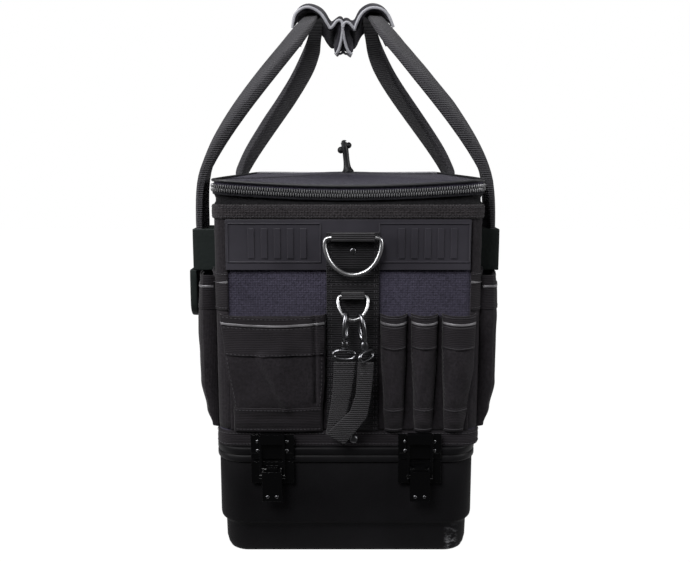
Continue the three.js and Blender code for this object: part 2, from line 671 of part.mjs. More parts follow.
// Flat strap along rows of centre and face normal, with its own width and thickness at each row.
function strap(rows) {
  const rings = rows.map((row, i) => {
    const before = rows[Math.max(i - 1, 0)].at;
    const after = rows[Math.min(i + 1, rows.length - 1)].at;
    const tangent = after.clone().sub(before).normalize();
    const across = new THREE.Vector3().crossVectors(row.normal, tangent).normalize();
    const out = new THREE.Vector3().crossVectors(tangent, across);
    const [w, t] = [row.width / 2, row.thick / 2];
    const corners = [[-1, -0.5], [-0.82, -1], [0.82, -1], [1, -0.5], [1, 0.5], [0.82, 1], [-0.82, 1], [-1, 0.5]];
    return corners.map(([a, b]) => row.at.clone().addScaledVector(across, a * w).addScaledVector(out, b * t));
  });
  return skin(rings);
}

// Carry handle, one half from the tab up to the crest. x is a share of HANDLE_SPREAD, y of HANDLE_STANCE,
// z of HANDLE_RISE, wide and thick of the handle's own section, and nx, ny, nz the strap's outer face.
const HANDLE_ROWS = [
  { x: 1, y: 0.91, z: 0, wide: 1, thick: 0.85, nx: 1, ny: 0, nz: 0 },
  { x: 1, y: 0.91, z: 0.165, wide: 1, thick: 0.85, nx: 1, ny: 0, nz: 0 },
  { x: 0.99, y: 0.925, z: 0.326, wide: 1, thick: 1.05, nx: 1, ny: 0.1, nz: 0.12 },
  { x: 0.912, y: 0.96, z: 0.413, wide: 1, thick: 1.2, nx: 0.9, ny: 0.18, nz: 0.4 },
  { x: 0.81, y: 0.985, z: 0.496, wide: 1, thick: 1.2, nx: 0.8, ny: 0.24, nz: 0.5 },
  { x: 0.694, y: 0.975, z: 0.583, wide: 1, thick: 1.2, nx: 0.8, ny: 0.3, nz: 0.5 },
  { x: 0.571, y: 0.935, z: 0.67, wide: 1, thick: 1.15, nx: 0.78, ny: 0.36, nz: 0.55 },
  { x: 0.442, y: 0.855, z: 0.761, wide: 0.95, thick: 1.05, nx: 0.72, ny: 0.42, nz: 0.6 },
  { x: 0.354, y: 0.74, z: 0.829, wide: 0.85, thick: 0.9, nx: 0.6, ny: 0.42, nz: 0.7 },
  { x: 0.293, y: 0.606, z: 0.891, wide: 0.65, thick: 0.7, nx: 0.4, ny: 0.3, nz: 0.85 },
  { x: 0.245, y: 0.424, z: 0.944, wide: 0.38, thick: 0.55, nx: 0.06, ny: 0.3, nz: 1 },
  { x: 0.218, y: 0.21, z: 0.985, wide: 0.4, thick: 0.55, nx: 0.02, ny: 0.1, nz: 1 },
  { x: 0.21, y: 0, z: 1, wide: 0.42, thick: 0.55, nx: 0, ny: 0, nz: 1 },
];
const HANDLE_FOOT = TAB_TOP - TAB_HEIGHT + 2;

function leanAt(z) {
  return HANDLE_LEAN * Math.max(0, (z - TAB_TOP) / HANDLE_RISE);
}

function handleRows(side) {
  const half = (end) => HANDLE_ROWS.map((row) => {
    const z = HANDLE_FOOT + row.z * HANDLE_RISE;
    return {
      at: new THREE.Vector3(side * row.x * HANDLE_SPREAD + leanAt(z), end * row.y * HANDLE_STANCE, z),
      normal: new THREE.Vector3(side * row.nx, end * row.ny, row.nz),
      width: row.wide * HANDLE_WIDTH,
      thick: row.thick * HANDLE_THICK,
    };
  });
  const near = half(-1);
  const far = half(1).reverse().slice(1);
  return [...near, ...far];
}

// Handle tab: a block on the flank with a slot that the strap's end sits in.
function handleTab(side, end) {
  const slotHalf = (0.85 * HANDLE_THICK) / 2 + GAP + 0.4;
  const slotLength = HANDLE_WIDTH / 2 + GAP + 0.4;
  const inner = SIDE_FACE + side * BODY_SHIFT;
  const outer = HANDLE_SPREAD + slotHalf + TAB_WALL;
  const y = end * 0.91 * HANDLE_STANCE;
  const box = (x0, x1, halfLength, z) => [[x0, -1], [x1, -1], [x1, 1], [x0, 1]].map(
    ([x, s]) => new THREE.Vector3(side * x, y + s * halfLength, z),
  );
  const low = TAB_TOP - TAB_HEIGHT;
  const outside = (z) => box(inner, outer, slotLength + TAB_WALL, z);
  const slot = (z) => box(HANDLE_SPREAD - slotHalf, HANDLE_SPREAD + slotHalf, slotLength, z);
  return skin([outside(low), outside(TAB_TOP), slot(TAB_TOP), slot(low)], true);
}

// Grip: a padded wrap arched over the strap, longer on its inner side; rows go round the arch from the outer hem.
// x is a share of GRIP_WIDTH from the strap's middle, z a share of GRIP_DROP below the crest.
const GRIP_ARCH = [
  { x: 0.5, z: 0.54 },
  { x: 0.48, z: 0.3 },
  { x: 0.38, z: 0.12 },
  { x: 0.2, z: 0.02 },
  { x: -0.2, z: 0.02 },
  { x: -0.37, z: 0.14 },
  { x: -0.5, z: 0.42 },
  { x: -0.64, z: 1 },
];
const GRIP_ABOVE_STRAP = (0.55 * HANDLE_THICK) / 2 + GAP + 1.6 + GRIP_WALL;

// Points of an open outline moved to its inner side by a wall's thickness.
function insetOutline(outline, wall) {
  return outline.map((p, i) => {
    const before = outline[Math.max(i - 1, 0)];
    const after = outline[Math.min(i + 1, outline.length - 1)];
    const along = after.clone().sub(before).normalize();
    return new THREE.Vector2(p.x + along.y * wall, p.y - along.x * wall);
  });
}

function gripWrap(side) {
  const outline = GRIP_ARCH.map((row) => new THREE.Vector2(row.x * GRIP_WIDTH, -row.z * GRIP_DROP));
  const section = [...outline, ...insetOutline(outline, -GRIP_WALL).reverse()];
  const stations = handleRows(side).filter((row) => Math.abs(row.at.y) <= GRIP_LENGTH / 2 + 1);
  return skin(stations.map(({ at }) => section.map(
    (p) => new THREE.Vector3(at.x + side * p.x, at.y, at.z + GRIP_ABOVE_STRAP + p.y),
  )));
}

for (const [name, side] of [['left', -1], ['right', 1]]) {
  part(`handle_${name}`, strap(handleRows(side)), webbing);
  part(`grip_${name}`, gripWrap(side), cloth);
  part(`handle_tab_${name}_front`, handleTab(side, -1), rubber);
  part(`handle_tab_${name}_rear`, handleTab(side, 1), rubber);
}

// Clip strap: one narrow webbing that comes down from the left hook, folds at its lowest end and goes back up
// in front to the right hook. x and out are millimetres from the strip's middle and its face, z a share of the
// drop below the hooks, and ux, uz give the direction of the strap's width.
const CLIP_ROWS = [
  { x: -9.5, out: 12, z: 0.14, ux: 1, uz: -0.1 },
  { x: -12.5, out: 7, z: 0.55, ux: 1, uz: -0.16 },
  { x: -17, out: 2.6, z: 0.97, ux: 0.9, uz: -0.42 },
  { x: -17.4, out: 4.4, z: 1, ux: 0.87, uz: -0.5 },
  { x: -16.6, out: 6.2, z: 0.96, ux: 0.86, uz: -0.5 },
  { x: -7, out: 9.6, z: 0.72, ux: 0.86, uz: -0.5 },
  { x: 5, out: 12.2, z: 0.46, ux: 0.93, uz: -0.35 },
  { x: 10.5, out: 13.6, z: 0.18, ux: 0.95, uz: -0.05 },
];
const CLIP_LAP = 9;
const EYELET_WIDTH = 8;
const EYELET_DROP = HOOK_LENGTH + SWIVEL_LENGTH + HOOK_LOOP_DROP - 1.15;

// A point or a shape given in a hook's own frame, put where that hook hangs.
function onHook(thing, place) {
  const turn = new THREE.Matrix4().makeRotationZ(place.loopTurn);
  const lean = new THREE.Matrix4().makeRotationY(place.lean);
  const move = new THREE.Matrix4().makeTranslation(WEBBING_X + place.x, HOOK_Y, HOOK_TOP + place.z);
  return thing.applyMatrix4(move.multiply(lean).multiply(turn));
}

function clipEnd(place) {
  const below = EYELET_DROP + HOOK_WIRE / 2 + RING_CLEARANCE + KEEPER_WALL;
  const at = onHook(new THREE.Vector3(0, 0, -below), place);
  const across = new THREE.Vector3(Math.cos(place.loopTurn), Math.sin(place.loopTurn), 0);
  return { at, across, wide: 0.75 };
}

function clipStrap() {
  const [first, last] = HOOK_PLACES.map(clipEnd);
  const top = Math.min(first.at.z, last.at.z);
  const drop = top - HEM_TOP + CLIP_LAP;
  const rows = CLIP_ROWS.map((row) => ({
    at: new THREE.Vector3(WEBBING_X + row.x, STRIP_FACE - row.out, top - row.z * drop),
    across: new THREE.Vector3(row.ux, 0, row.uz).normalize(),
    wide: 1,
  }));
  const all = [first, ...rows, last];
  const rings = all.map(({ at, across, wide }, i) => {
    const before = all[Math.max(i - 1, 0)].at;
    const after = all[Math.min(i + 1, all.length - 1)].at;
    const tangent = after.clone().sub(before).normalize();
    const out = new THREE.Vector3().crossVectors(tangent, across).normalize();
    const half = (wide * CLIP_STRAP) / 2;
    const corners = [[-1, -1], [1, -1], [1, 1], [-1, 1]];
    return corners.map(([a, b]) => at.clone()
      .addScaledVector(across, a * half).addScaledVector(out, (b * CLIP_STRAP_THICK) / 2));
  });
  const eyelets = HOOK_PLACES.map((place) => {
    const loop = ringKeeper(EYELET_WIDTH, HOOK_WIRE).translate(0, 0, -EYELET_DROP);
    return onHook(loop, place);
  });
  return fuse(skin(rings), ...eyelets);
}
part('clip_strap', clipStrap(), webbing);

// Press stud on the hem, below the folded strap
const STUD_RADIUS = 4;
const HEM_FACE = -(BODY_HALF_LENGTH + 0.5 + GAP + BAND);

function pressStud() {
  const profile = [[0, 0], [STUD_RADIUS, 0], [STUD_RADIUS, 1.2], [STUD_RADIUS * 0.6, 2.4], [0, 2.6]];
  const cap = new THREE.LatheGeometry(profile.map(([x, y]) => new THREE.Vector2(x, y)), 14);
  return cap.rotateX(Math.PI);
}
part('snap_button', pressStud().translate(WEBBING_X + 1, HEM_FACE - GAP, BODY_BOTTOM + HEM_HEIGHT / 2), latchBlack);

// Tool loop: a rounded padded flap hung outside the left pocket
const LOOP_LENGTH = 50;
const LOOP_WIDTH = 30;
const LOOP_THICK = 8;

function toolLoop() {
  const outline = new THREE.Shape();
  const half = LOOP_WIDTH / 2;
  outline.moveTo(-half, 0);
  outline.lineTo(half, 0);
  outline.lineTo(half, half - LOOP_LENGTH);
  outline.absarc(0, half - LOOP_LENGTH, half, 0, -Math.PI, true);
  outline.closePath();
  const options = { depth: LOOP_THICK, bevelEnabled: false, curveSegments: 8 };
  return new THREE.ExtrudeGeometry(outline, options).rotateX(Math.PI / 2).rotateZ(-Math.PI / 2);
}
const LOOP_X = BODY_SHIFT - SIDE_FACE - SIDE_POCKET_DEPTH - GAP;
part('tool_loop', toolLoop().translate(LOOP_X, -150, POCKET_BOTTOM + SIDE_POCKET_HEIGHT), cloth);

// Draw latch: a keeper plate on the hem, a plate with a pivot block on the base, a lever and a link with a hook.
const LATCH_FACE = -(BASE_HALF_LENGTH + RIM_PROUD + GAP);
const PLATE_HEIGHT = 22;
const KEEPER_HEIGHT = 25;
const PIVOT_Y = LATCH_FACE - LATCH_THICK - 3.6;
const PIVOT_Z = BASE_HEIGHT - 4.5;
const BLOCK_HALF = 5.4;
const LINK_PIN_DROP = 7;
const LINK_THICK = 2;
const LINK_HALF = LEVER_WIDTH / 2 + PIN_CLEARANCE + 2.4;
const KEEPER_LOW = BASE_HEIGHT + 5;
const KEEPER_TOP = KEEPER_LOW + KEEPER_HEIGHT;
const LUG_RISE = 1.4;
const PACKER = 1.5;

function latchPlate() {
  const half = LATCH_WIDTH / 2;
  const plateBack = LATCH_FACE;
  const plateFace = plateBack - LATCH_THICK;
  const top = BASE_HEIGHT + 2;
  return fuse(
    block(-half, plateFace, top - PLATE_HEIGHT, half, plateBack, top),
    block(-half + 6, plateBack - 0.5, top - PLATE_HEIGHT + 2, half - 6, plateBack + PACKER, BASE_HEIGHT - 3),
    block(-BLOCK_HALF, PIVOT_Y - 2, PIVOT_Z - 3.4, BLOCK_HALF, plateBack - 0.5, PIVOT_Z + 2.6),
    crossPin(PIN_RADIUS, -LEVER_WIDTH / 2 + 0.2, LEVER_WIDTH / 2 - 0.2, PIVOT_Y, PIVOT_Z),
  );
}

function latchKeeper() {
  const half = LATCH_WIDTH / 2;
  const back = LATCH_FACE;
  const face = back - LATCH_THICK;
  const lug = half - LINK_HALF - 1.2;
  return fuse(
    block(-half, face, KEEPER_LOW, half, back, KEEPER_TOP - LUG_RISE),
    block(-half, face - 0.6, KEEPER_LOW + 6, -half + lug, back, KEEPER_TOP),
    block(half - lug, face - 0.6, KEEPER_LOW + 6, half, back, KEEPER_TOP),
  );
}

function latchLever() {
  const half = LEVER_WIDTH / 2;
  const inner = half - LEVER_WALL;
  const front = PIVOT_Y - 4.8;
  const ear = 3;
  const pinZ = PIVOT_Z - LINK_PIN_DROP;
  const eye = PIN_RADIUS + PIN_CLEARANCE;
  const plate = block(-half, front, PIVOT_Z - LEVER_LENGTH, half, front + LEVER_WALL, PIVOT_Z - 1);
  const sides = [-1, 1].map((s) => {
    const [x0, x1] = [s * inner, s * half].sort((a, b) => a - b);
    const cheek = fuse(
      block(x0, front + 0.4, pinZ - 3, x1, PIVOT_Y + 2.4, PIVOT_Z),
      crossPin(ear, x0, x1, PIVOT_Y, PIVOT_Z, 16),
    );
    const [s0, s1] = [s * (half - 0.8), s * (LINK_HALF - 0.2)].sort((a, b) => a - b);
    return cut(fuse(cheek, crossPin(PIN_RADIUS, s0, s1, PIVOT_Y + 0.5, pinZ)), crossPin(eye, x0 - 1, x1 + 1, PIVOT_Y, PIVOT_Z));
  });
  return fuse(plate, ...sides);
}

function latchLink() {
  const inner = LEVER_WIDTH / 2 + PIN_CLEARANCE;
  const y0 = PIVOT_Y + 0.5 - LINK_THICK / 2;
  const y1 = y0 + LINK_THICK;
  const pinZ = PIVOT_Z - LINK_PIN_DROP;
  const eye = PIN_RADIUS + PIN_CLEARANCE;
  const legs = [-1, 1].map((s) => {
    const [x0, x1] = [s * inner, s * LINK_HALF].sort((a, b) => a - b);
    const leg = fuse(block(x0, y0, pinZ, x1, y1, KEEPER_TOP), crossPin(eye + 1, x0, x1, PIVOT_Y + 0.5, pinZ, 14));
    return cut(leg, crossPin(eye, x0 - 1, x1 + 1, PIVOT_Y + 0.5, pinZ));
  });
  const hookTop = KEEPER_TOP + 1;
  return fuse(
    ...legs,
    block(-LINK_HALF, y0, KEEPER_TOP - 9, LINK_HALF, y1, hookTop),
    block(-LINK_HALF + 1, y1 - 0.5, KEEPER_TOP - LUG_RISE + GAP, LINK_HALF - 1, LATCH_FACE - 0.6, hookTop),
  );
}

for (const [name, side] of [['left', -1], ['right', 1]]) {
  const x = side * LATCH_SPREAD;
  part(`latch_plate_${name}`, latchPlate().translate(x, 0, 0), latchBlack);
  part(`latch_keeper_${name}`, latchKeeper().translate(x, 0, 0), latchBlack);
  part(`latch_lever_${name}`, latchLever().translate(x, 0, 0), latchBlack);
  part(`latch_link_${name}`, latchLink().translate(x, 0, 0), latchBlack);
  const front = PIVOT_Y - 4.8;
  const plain = fuse(
    block(-LATCH_WIDTH / 2, LATCH_FACE - LATCH_THICK, BASE_HEIGHT - 20, LATCH_WIDTH / 2, LATCH_FACE, KEEPER_TOP),
    block(-LEVER_WIDTH / 2, front, PIVOT_Z - LEVER_LENGTH, LEVER_WIDTH / 2, LATCH_FACE - 1, KEEPER_TOP - 4),
  );
  part(`rear_latch_${name}`, plain.translate(x, 0, 0).rotateZ(Math.PI), latchBlack);
}

// The origin is on the ground, in the middle of the part's own box
const middle = new THREE.Box3().setFromObject(bag, true).getCenter(new THREE.Vector3());
bag.position.set(-middle.x, -middle.y, 0);

export default bag;
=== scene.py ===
"""Dresses a packed power tool bag: cloth, webbing, zip, rings, latches and a moulded base, and its studio."""

import math

import bmesh
import bpy
from bpy.props import FloatProperty, PointerProperty
from mathutils import Matrix, Vector, noise


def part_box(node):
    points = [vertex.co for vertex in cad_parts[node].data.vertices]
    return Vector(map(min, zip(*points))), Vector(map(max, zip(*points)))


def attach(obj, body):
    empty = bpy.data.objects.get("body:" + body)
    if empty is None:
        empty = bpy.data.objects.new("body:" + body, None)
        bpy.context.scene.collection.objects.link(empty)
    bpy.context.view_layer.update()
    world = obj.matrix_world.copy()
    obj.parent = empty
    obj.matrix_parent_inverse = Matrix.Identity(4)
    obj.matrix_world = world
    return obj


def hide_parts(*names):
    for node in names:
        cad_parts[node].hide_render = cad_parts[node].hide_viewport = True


bl_info = {
    "name": "Power tool bag",
    "version": (1, 0, 0),
    "blender": (4, 5, 0),
    "location": "3D View > Sidebar > Tool bag",
    "description": "Builds the soft goods, hardware and studio of a power tool bag round its packed frame",
    "category": "Add Mesh",
}

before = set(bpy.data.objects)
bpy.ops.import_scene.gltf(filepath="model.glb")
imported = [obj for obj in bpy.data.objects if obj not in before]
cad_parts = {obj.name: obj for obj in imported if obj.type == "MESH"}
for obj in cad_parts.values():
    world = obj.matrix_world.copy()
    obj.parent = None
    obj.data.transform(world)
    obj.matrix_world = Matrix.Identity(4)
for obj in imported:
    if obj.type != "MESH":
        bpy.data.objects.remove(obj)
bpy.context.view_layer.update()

MM = 0.001
STITCH = 0.35
DRESSED = "dressed "
STITCH_PITCH = 4.2


def box_mm(node):
    """A CAD node's lowest and highest corners in millimetres."""
    low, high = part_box(node)
    return Vector(low) / MM, Vector(high) / MM


BODY_LOW, BODY_HIGH = box_mm("body_shell")
HEM_LOW, HEM_HIGH = box_mm("hem_band")
BINDING_LOW, BINDING_HIGH = box_mm("top_binding")
LID_LOW, LID_HIGH = box_mm("lid")
ZIP_LOW, ZIP_HIGH = box_mm("zip_chain")
FRONT = HEM_LOW.y
BODY_CORNER = 16


def smoothstep(low, high, value):
    """A share from 0 to 1 that eases in and out between two values."""
    t = min(max((value - low) / (high - low), 0.0), 1.0)
    return t * t * (3 - 2 * t)


class Sock:
    """A shader socket that takes part in Python expressions, each of which adds its Math node."""

    def __init__(self, tree, socket):
        self.tree = tree
        self.socket = socket

    def math(self, operation, *values):
        return self.tree.node("ShaderNodeMath", {"operation": operation}, dict(enumerate(values)))

    def __add__(self, other):
        return self.math("ADD", self, other)

    __radd__ = __add__

    def __sub__(self, other):
        return self.math("SUBTRACT", self, other)

    def __rsub__(self, other):
        return self.math("SUBTRACT", other, self)

    def __mul__(self, other):
        return self.math("MULTIPLY", self, other)

    __rmul__ = __mul__

    def __pow__(self, other):
        return self.math("POWER", self, other)

    def wave(self):
        """The sine of the value, lifted to run from 0 to 1."""
        return self.math("SINE", self) * 0.5 + 0.5

    def clamp(self, low, high):
        node = {"clamp": True}
        return self.tree.node("ShaderNodeMapRange", node, {"Value": self, "From Min": low, "From Max": high})

    def cell(self):
        return self.math("FRACT", self)


class Finish:
    """One material's node tree, with a method that makes every kind of node."""

    def __init__(self, name):
        self.material = bpy.data.materials.new(DRESSED + name)
        self.material.use_nodes = True
        self.nodes = self.material.node_tree.nodes
        self.links = self.material.node_tree.links
        self.shader = self.nodes["Principled BSDF"]

    def node(self, kind, settings=None, inputs=None, output=0):
        node = self.nodes.new(kind)
        for key, value in (settings or {}).items():
            if key == "stops":
                for stop, (place, colour) in zip(self.ramp_stops(node, len(value)), value):
                    stop.position = place
                    stop.color = (*colour, 1)
            else:
                setattr(node, key, value)
        for key, value in (inputs or {}).items():
            self.feed(node.inputs[key], value)
        return Sock(self, node.outputs[output])

    @staticmethod
    def ramp_stops(node, count):
        stops = node.color_ramp.elements
        while len(stops) < count:
            stops.new(1)
        return stops

    def feed(self, socket, value):
        if isinstance(value, Sock):
            self.links.new(value.socket, socket)
        else:
            socket.default_value = value

    def axes(self):
        """Object coordinates as three values."""
        place = self.node("ShaderNodeTexCoord", output=3)
        split = self.node("ShaderNodeSeparateXYZ", inputs={0: place})
        outs = split.socket.node.outputs
        return [Sock(self, outs[i]) for i in range(3)]

    def noise(self, scale, detail=2.0, rough=0.5, stretch=None):
        place = self.node("ShaderNodeTexCoord", output=3)
        if stretch:
            place = self.node("ShaderNodeMapping", inputs={0: place, 3: stretch})
        inputs = {0: place, "Scale": scale, "Detail": detail, "Roughness": rough}
        return self.node("ShaderNodeTexNoise", inputs=inputs)

    def mix(self, factor, first, second):
        node = self.node("ShaderNodeMix", {"data_type": "RGBA"}, {0: factor}, output=2)
        for socket, value in ((6, first), (7, second)):
            value = value if isinstance(value, Sock) else (*value, 1)
            self.feed(node.socket.node.inputs[socket], value)
        return node

    def bump(self, height, strength, depth, normal=None):
        inputs = {"Height": height, "Strength": strength, "Distance": depth}
        if normal:
            inputs["Normal"] = normal
        return self.node("ShaderNodeBump", inputs=inputs)

    def set(self, **values):
        """Sets the shader's sockets; an underscore in a name stands for a space."""
        for key, value in values.items():
            if isinstance(value, tuple) and len(value) == 3:
                value = (*value, 1)
            self.feed(self.shader.inputs[key.replace("_", " ")], value)
        return self.material


def tone(colour, factor):
    return tuple(channel * factor for channel in colour)


def woven(name, colour, pitch, lay="wall", contrast=0.5, relief=0.00025, worn=0.5):
    """Plain weave: crossed threads of one pitch, a slow change of tone and a little fuzz."""
    cloth = Finish(name)
    x, y, z = cloth.axes()
    along, across = {"wall": (x + y, z), "flat": (x, y), "strap": (y, z)}[lay]
    turn = 2 * math.pi / pitch
    warp = (along * turn).wave()
    weft = (across * turn).wave()
    checker = ((along * (turn / 2)).wave() - 0.5) * ((across * (turn / 2)).wave() - 0.5) * 2 + 0.5
    threads = warp * (1 - checker) + weft * checker
    cloud = cloth.noise(14, 4, 0.6)
    speck = cloth.noise(380, 2, 0.6)
    shade = threads * contrast + (1 - contrast / 2)
    mottle = cloud * worn + shade * 0.4 + speck * 1.1 - (0.25 + 0.5)
    base = cloth.mix(mottle.clamp(0, 1), tone(colour, 0.35), tone(colour, 1.8))
    rough = (threads * -0.12 + cloud * 0.1 + 0.85).clamp(0, 1)
    height = threads + speck * 1.6
    return cloth.set(
        Base_Color=base,
        Roughness=rough,
        Normal=cloth.bump(height, 0.8, relief),
        Sheen_Weight=0.06,
        Sheen_Roughness=0.5,
        Specular_IOR_Level=0.03,
    )


def ribbed(name, colour, pitch, relief, cross=0.0014):
    """Ribbed webbing: round ribs, each broken into slanted picks."""
    band = Finish(name)
    x, y, z = band.axes()
    run, up = x + y, z
    rib = (up * (2 * math.pi / pitch)).wave()
    pick = ((run + up * 0.5) * (2 * math.pi / cross)).wave()
    cloud = band.noise(30, 3, 0.6)
    speck = band.noise(1200, 1, 0.5)
    height = rib + pick * rib * 0.6
    shade = (height * 0.35 + cloud * 0.45 + speck * 0.2 - 0.15).clamp(0, 1)
    base = band.mix(shade, tone(colour, 0.4), tone(colour, 1.7))
    return band.set(
        Base_Color=base,
        Roughness=(rib * -0.15 + 0.8).clamp(0, 1),
        Normal=band.bump(height + speck * 0.4, 0.9, relief),
        Sheen_Weight=0.05,
        Specular_IOR_Level=0.05,
    )


def moulded(name, colour, roughness=0.5, grain=900.0, relief=0.00012, scuff=0.0, shine=0.3):
    """Moulded plastic with a spark-eroded grain and, if asked, pale scuffs near the ground."""
    shell = Finish(name)
    fine = shell.noise(grain, 2, 0.6)
    cloud = shell.noise(9, 4, 0.65)
    base = shell.mix(cloud.clamp(0.3, 0.75), tone(colour, 0.75), tone(colour, 1.35))
    if scuff:
        x, y, z = shell.axes()
        low = (0.032 - z).clamp(0, 0.02)
        scratch = shell.noise(150, 6, 0.75, stretch=(1, 1, 2)).clamp(0.5, 0.62)
        spot = (x - 0.100).clamp(0, 0.004) * (0.116 - x).clamp(0, 0.004) * (-0.18 - y).clamp(0, 0.004)
        base = shell.mix((low * scratch * spot * scuff).clamp(0, 1), base, (0.10, 0.10, 0.105))
    rough = (cloud * 0.18 + fine * 0.1 + (roughness - 0.12)).clamp(0, 1)
    bump = shell.bump(fine, 0.5, relief)
    return shell.set(Base_Color=base, Roughness=rough, Normal=bump, Specular_IOR_Level=shine)


def plated(name, colour, roughness=0.2, metallic=1.0, wear=(0.3, 0.3, 0.3)):
    """Plated or lacquered metal with faint handling marks."""
    metal = Finish(name)
    smear = metal.noise(45, 4, 0.6)
    scratch = metal.noise(260, 3, 0.7, stretch=(1, 1, 6)).clamp(0.66, 0.76)
    base = metal.mix(scratch * 0.5, colour, wear)
    rough = (smear * 0.22 + roughness - 0.08).clamp(0, 1)
    return metal.set(
        Base_Color=base,
        Roughness=rough,
        Metallic=metallic,
        Normal=metal.bump(smear + scratch, 0.15, 0.0001),
        Specular_IOR_Level=0.25,
    )


def cord_with_painted_far_glint(name, near, far, turn):
    """Piping whose cover changes from the near colour to a lighter far colour where y passes a place; the
    lighter far stretch is a painted highlight for the glint on the lid's far edge.
    """
    cord = Finish(name)
    y = cord.axes()[1]
    grain = cord.noise(900, 2, 0.5)
    base = cord.mix((y - turn).clamp(0, 0.004), near, far)
    return cord.set(Base_Color=base, Roughness=(grain * 0.2 + 0.4).clamp(0, 1), Specular_IOR_Level=0.3)


def reflective_tape(name, colour):
    """Glass-bead tape: bright, satin, with a fine diamond grain."""
    tape = Finish(name)
    bead = tape.noise(2500, 1, 0.5)
    dirt = tape.noise(90, 3, 0.6)
    base = tape.mix((dirt * 0.7 + bead * 0.3).clamp(0.25, 0.8), tone(colour, 0.45), tone(colour, 1.25))
    return tape.set(
        Base_Color=base,
        Roughness=(bead * 0.3 + 0.3).clamp(0, 1),
        Metallic=0.35,
        Normal=tape.bump(bead, 0.4, 0.0001),
    )


def ripple(place, size, seed=0.0):
    """Smooth noise from -1 to 1 whose bumps are about size across, in millimetres."""
    return noise.noise(Vector(place) / size + Vector((seed, seed * 0.7, seed * 1.3)))


def fold(x, z, start, end, width):
    """The height, from 0 to 1, of a soft fold that runs from start to end on a face."""
    start, end = Vector(start), Vector(end)
    line = end - start
    share = min(max((Vector((x, z)) - start).dot(line) / line.length_squared, 0), 1)
    return math.exp(-(((Vector((x, z)) - start - line * share).length / width) ** 2))


def along(rows, value):
    """The second column of a table at a value of its first, eased from row to row."""
    for (low, first), (high, last) in zip(rows, rows[1:]):
        if value <= high:
            return first + (last - first) * smoothstep(low, high, value)
    return rows[-1][1]


class Plan:
    """A rounded rectangle in plan, walked counterclockwise from the middle of its front."""

    def __init__(self, low, high, radius):
        self.middle = Vector(((low.x + high.x) / 2, (low.y + high.y) / 2))
        self.half = Vector(((high.x - low.x) / 2 - radius, (high.y - low.y) / 2 - radius))
        self.radius = radius
        arc = math.pi * radius / 2
        end, side = 2 * self.half.x, 2 * self.half.y
        self.parts = [self.half.x, arc, side, arc, end, arc, side, arc, self.half.x]
        self.length = sum(self.parts)

    def at(self, share, grow=0.0):
        """The point in plan at a share of the way round, grown outwards, and the outward direction there."""
        left = (share % 1.0) * self.length
        shrink = max(0, -grow - self.radius + 3)
        half = self.half - Vector((shrink, shrink))
        radius = self.radius + grow + shrink
        part = 0
        while part < 8 and left > self.parts[part]:
            left -= self.parts[part]
            part += 1
        turn = (part + 1) // 2
        if part % 2:
            angle = (turn - 2) * math.pi / 2 + left / self.radius
            corner = Vector((half.x * (1, 1, -1, -1)[turn - 1], half.y * (-1, 1, 1, -1)[turn - 1]))
            out = Vector((math.cos(angle), math.sin(angle)))
            return self.middle + corner + out * radius, out
        out = Vector(((0, -1), (1, 0), (0, 1), (-1, 0), (0, -1))[turn])
        step = Vector((-out.y, out.x))
        start = -(self.half.y if part in (2, 6) else self.half.x) if part else 0
        ends = part in (0, 4, 8)
        reach = half.y if ends else half.x
        scale = half.x / self.half.x if ends else half.y / self.half.y
        return self.middle + out * (radius + reach) + step * (start + left) * scale, out


def grid(columns, rows, place, closed=False):
    """A mesh of columns by rows faces, with each corner where place(u, v) says in millimetres."""
    mesh = bmesh.new()
    bmesh.ops.create_grid(mesh, x_segments=columns, y_segments=rows, size=1)
    for vert in mesh.verts:
        vert.co = Vector(place((vert.co.x + 1) / 2, (vert.co.y + 1) / 2)) * MM
    if closed:
        bmesh.ops.remove_doubles(mesh, verts=mesh.verts, dist=0.01 * MM)
    return mesh


def through(points):
    """A path by share from the first point to the last, straight between them."""

    def path(share):
        spot = min(max(share, 0), 1) * (len(points) - 1)
        k = min(int(spot), len(points) - 2)
        return Vector(points[k]).lerp(Vector(points[k + 1]), spot - k)

    return path


def tube(path, radius, count, closed=False):
    """A round cord along path(share), a function to a point in millimetres."""
    sides = 8
    near = 0.002
    mesh = bmesh.new()
    rings = []
    shares = [i / count for i in range(count + (0 if closed else 1))]
    up = Vector((0, 0, 1))
    for share in shares:
        ahead = Vector(path((share + near) % 1.0 if closed else min(share + near, 1)))
        behind = Vector(path((share - near) % 1.0 if closed else max(share - near, 0)))
        run = (ahead - behind).normalized()
        side = run.cross(up)
        side = side.normalized() if side.length > 0.05 else Vector((1, 0, 0))
        lift = side.cross(run)
        here = Vector(path(share))
        ring = []
        for k in range(sides):
            turn = 2 * math.pi * k / sides
            out = side * math.cos(turn) + lift * math.sin(turn)
            ring.append(mesh.verts.new((here + out * radius) * MM))
        rings.append(ring)
    pairs = zip(rings, rings[1:] + rings[:1]) if closed else zip(rings, rings[1:])
    for first, last in pairs:
        for k in range(sides):
            mesh.faces.new((first[k], first[(k + 1) % sides], last[(k + 1) % sides], last[k]))
    if not closed:
        mesh.faces.new(rings[0])
        mesh.faces.new(rings[-1])
    bmesh.ops.recalc_face_normals(mesh, faces=mesh.faces)
    return mesh


def stitches(lines):
    """Raised threads along each line: a list of points in millimetres, sewn with one pitch."""
    mesh = bmesh.new()
    for line in lines:
        for first, last in zip(line, line[1:]):
            first, last = Vector(first), Vector(last)
            count = max(int((last - first).length / STITCH_PITCH), 1)
            for k in range(count):
                middle = first.lerp(last, (k + 0.5) / count)
                turn = (last - first).to_track_quat("X", "Z").to_matrix().to_4x4()
                size = Matrix.Diagonal((STITCH_PITCH * 0.38, STITCH, STITCH, 1))
                place = Matrix.Scale(MM, 4) @ Matrix.Translation(middle) @ turn @ size
                bmesh.ops.create_icosphere(mesh, subdivisions=1, radius=1, matrix=place)
    return mesh


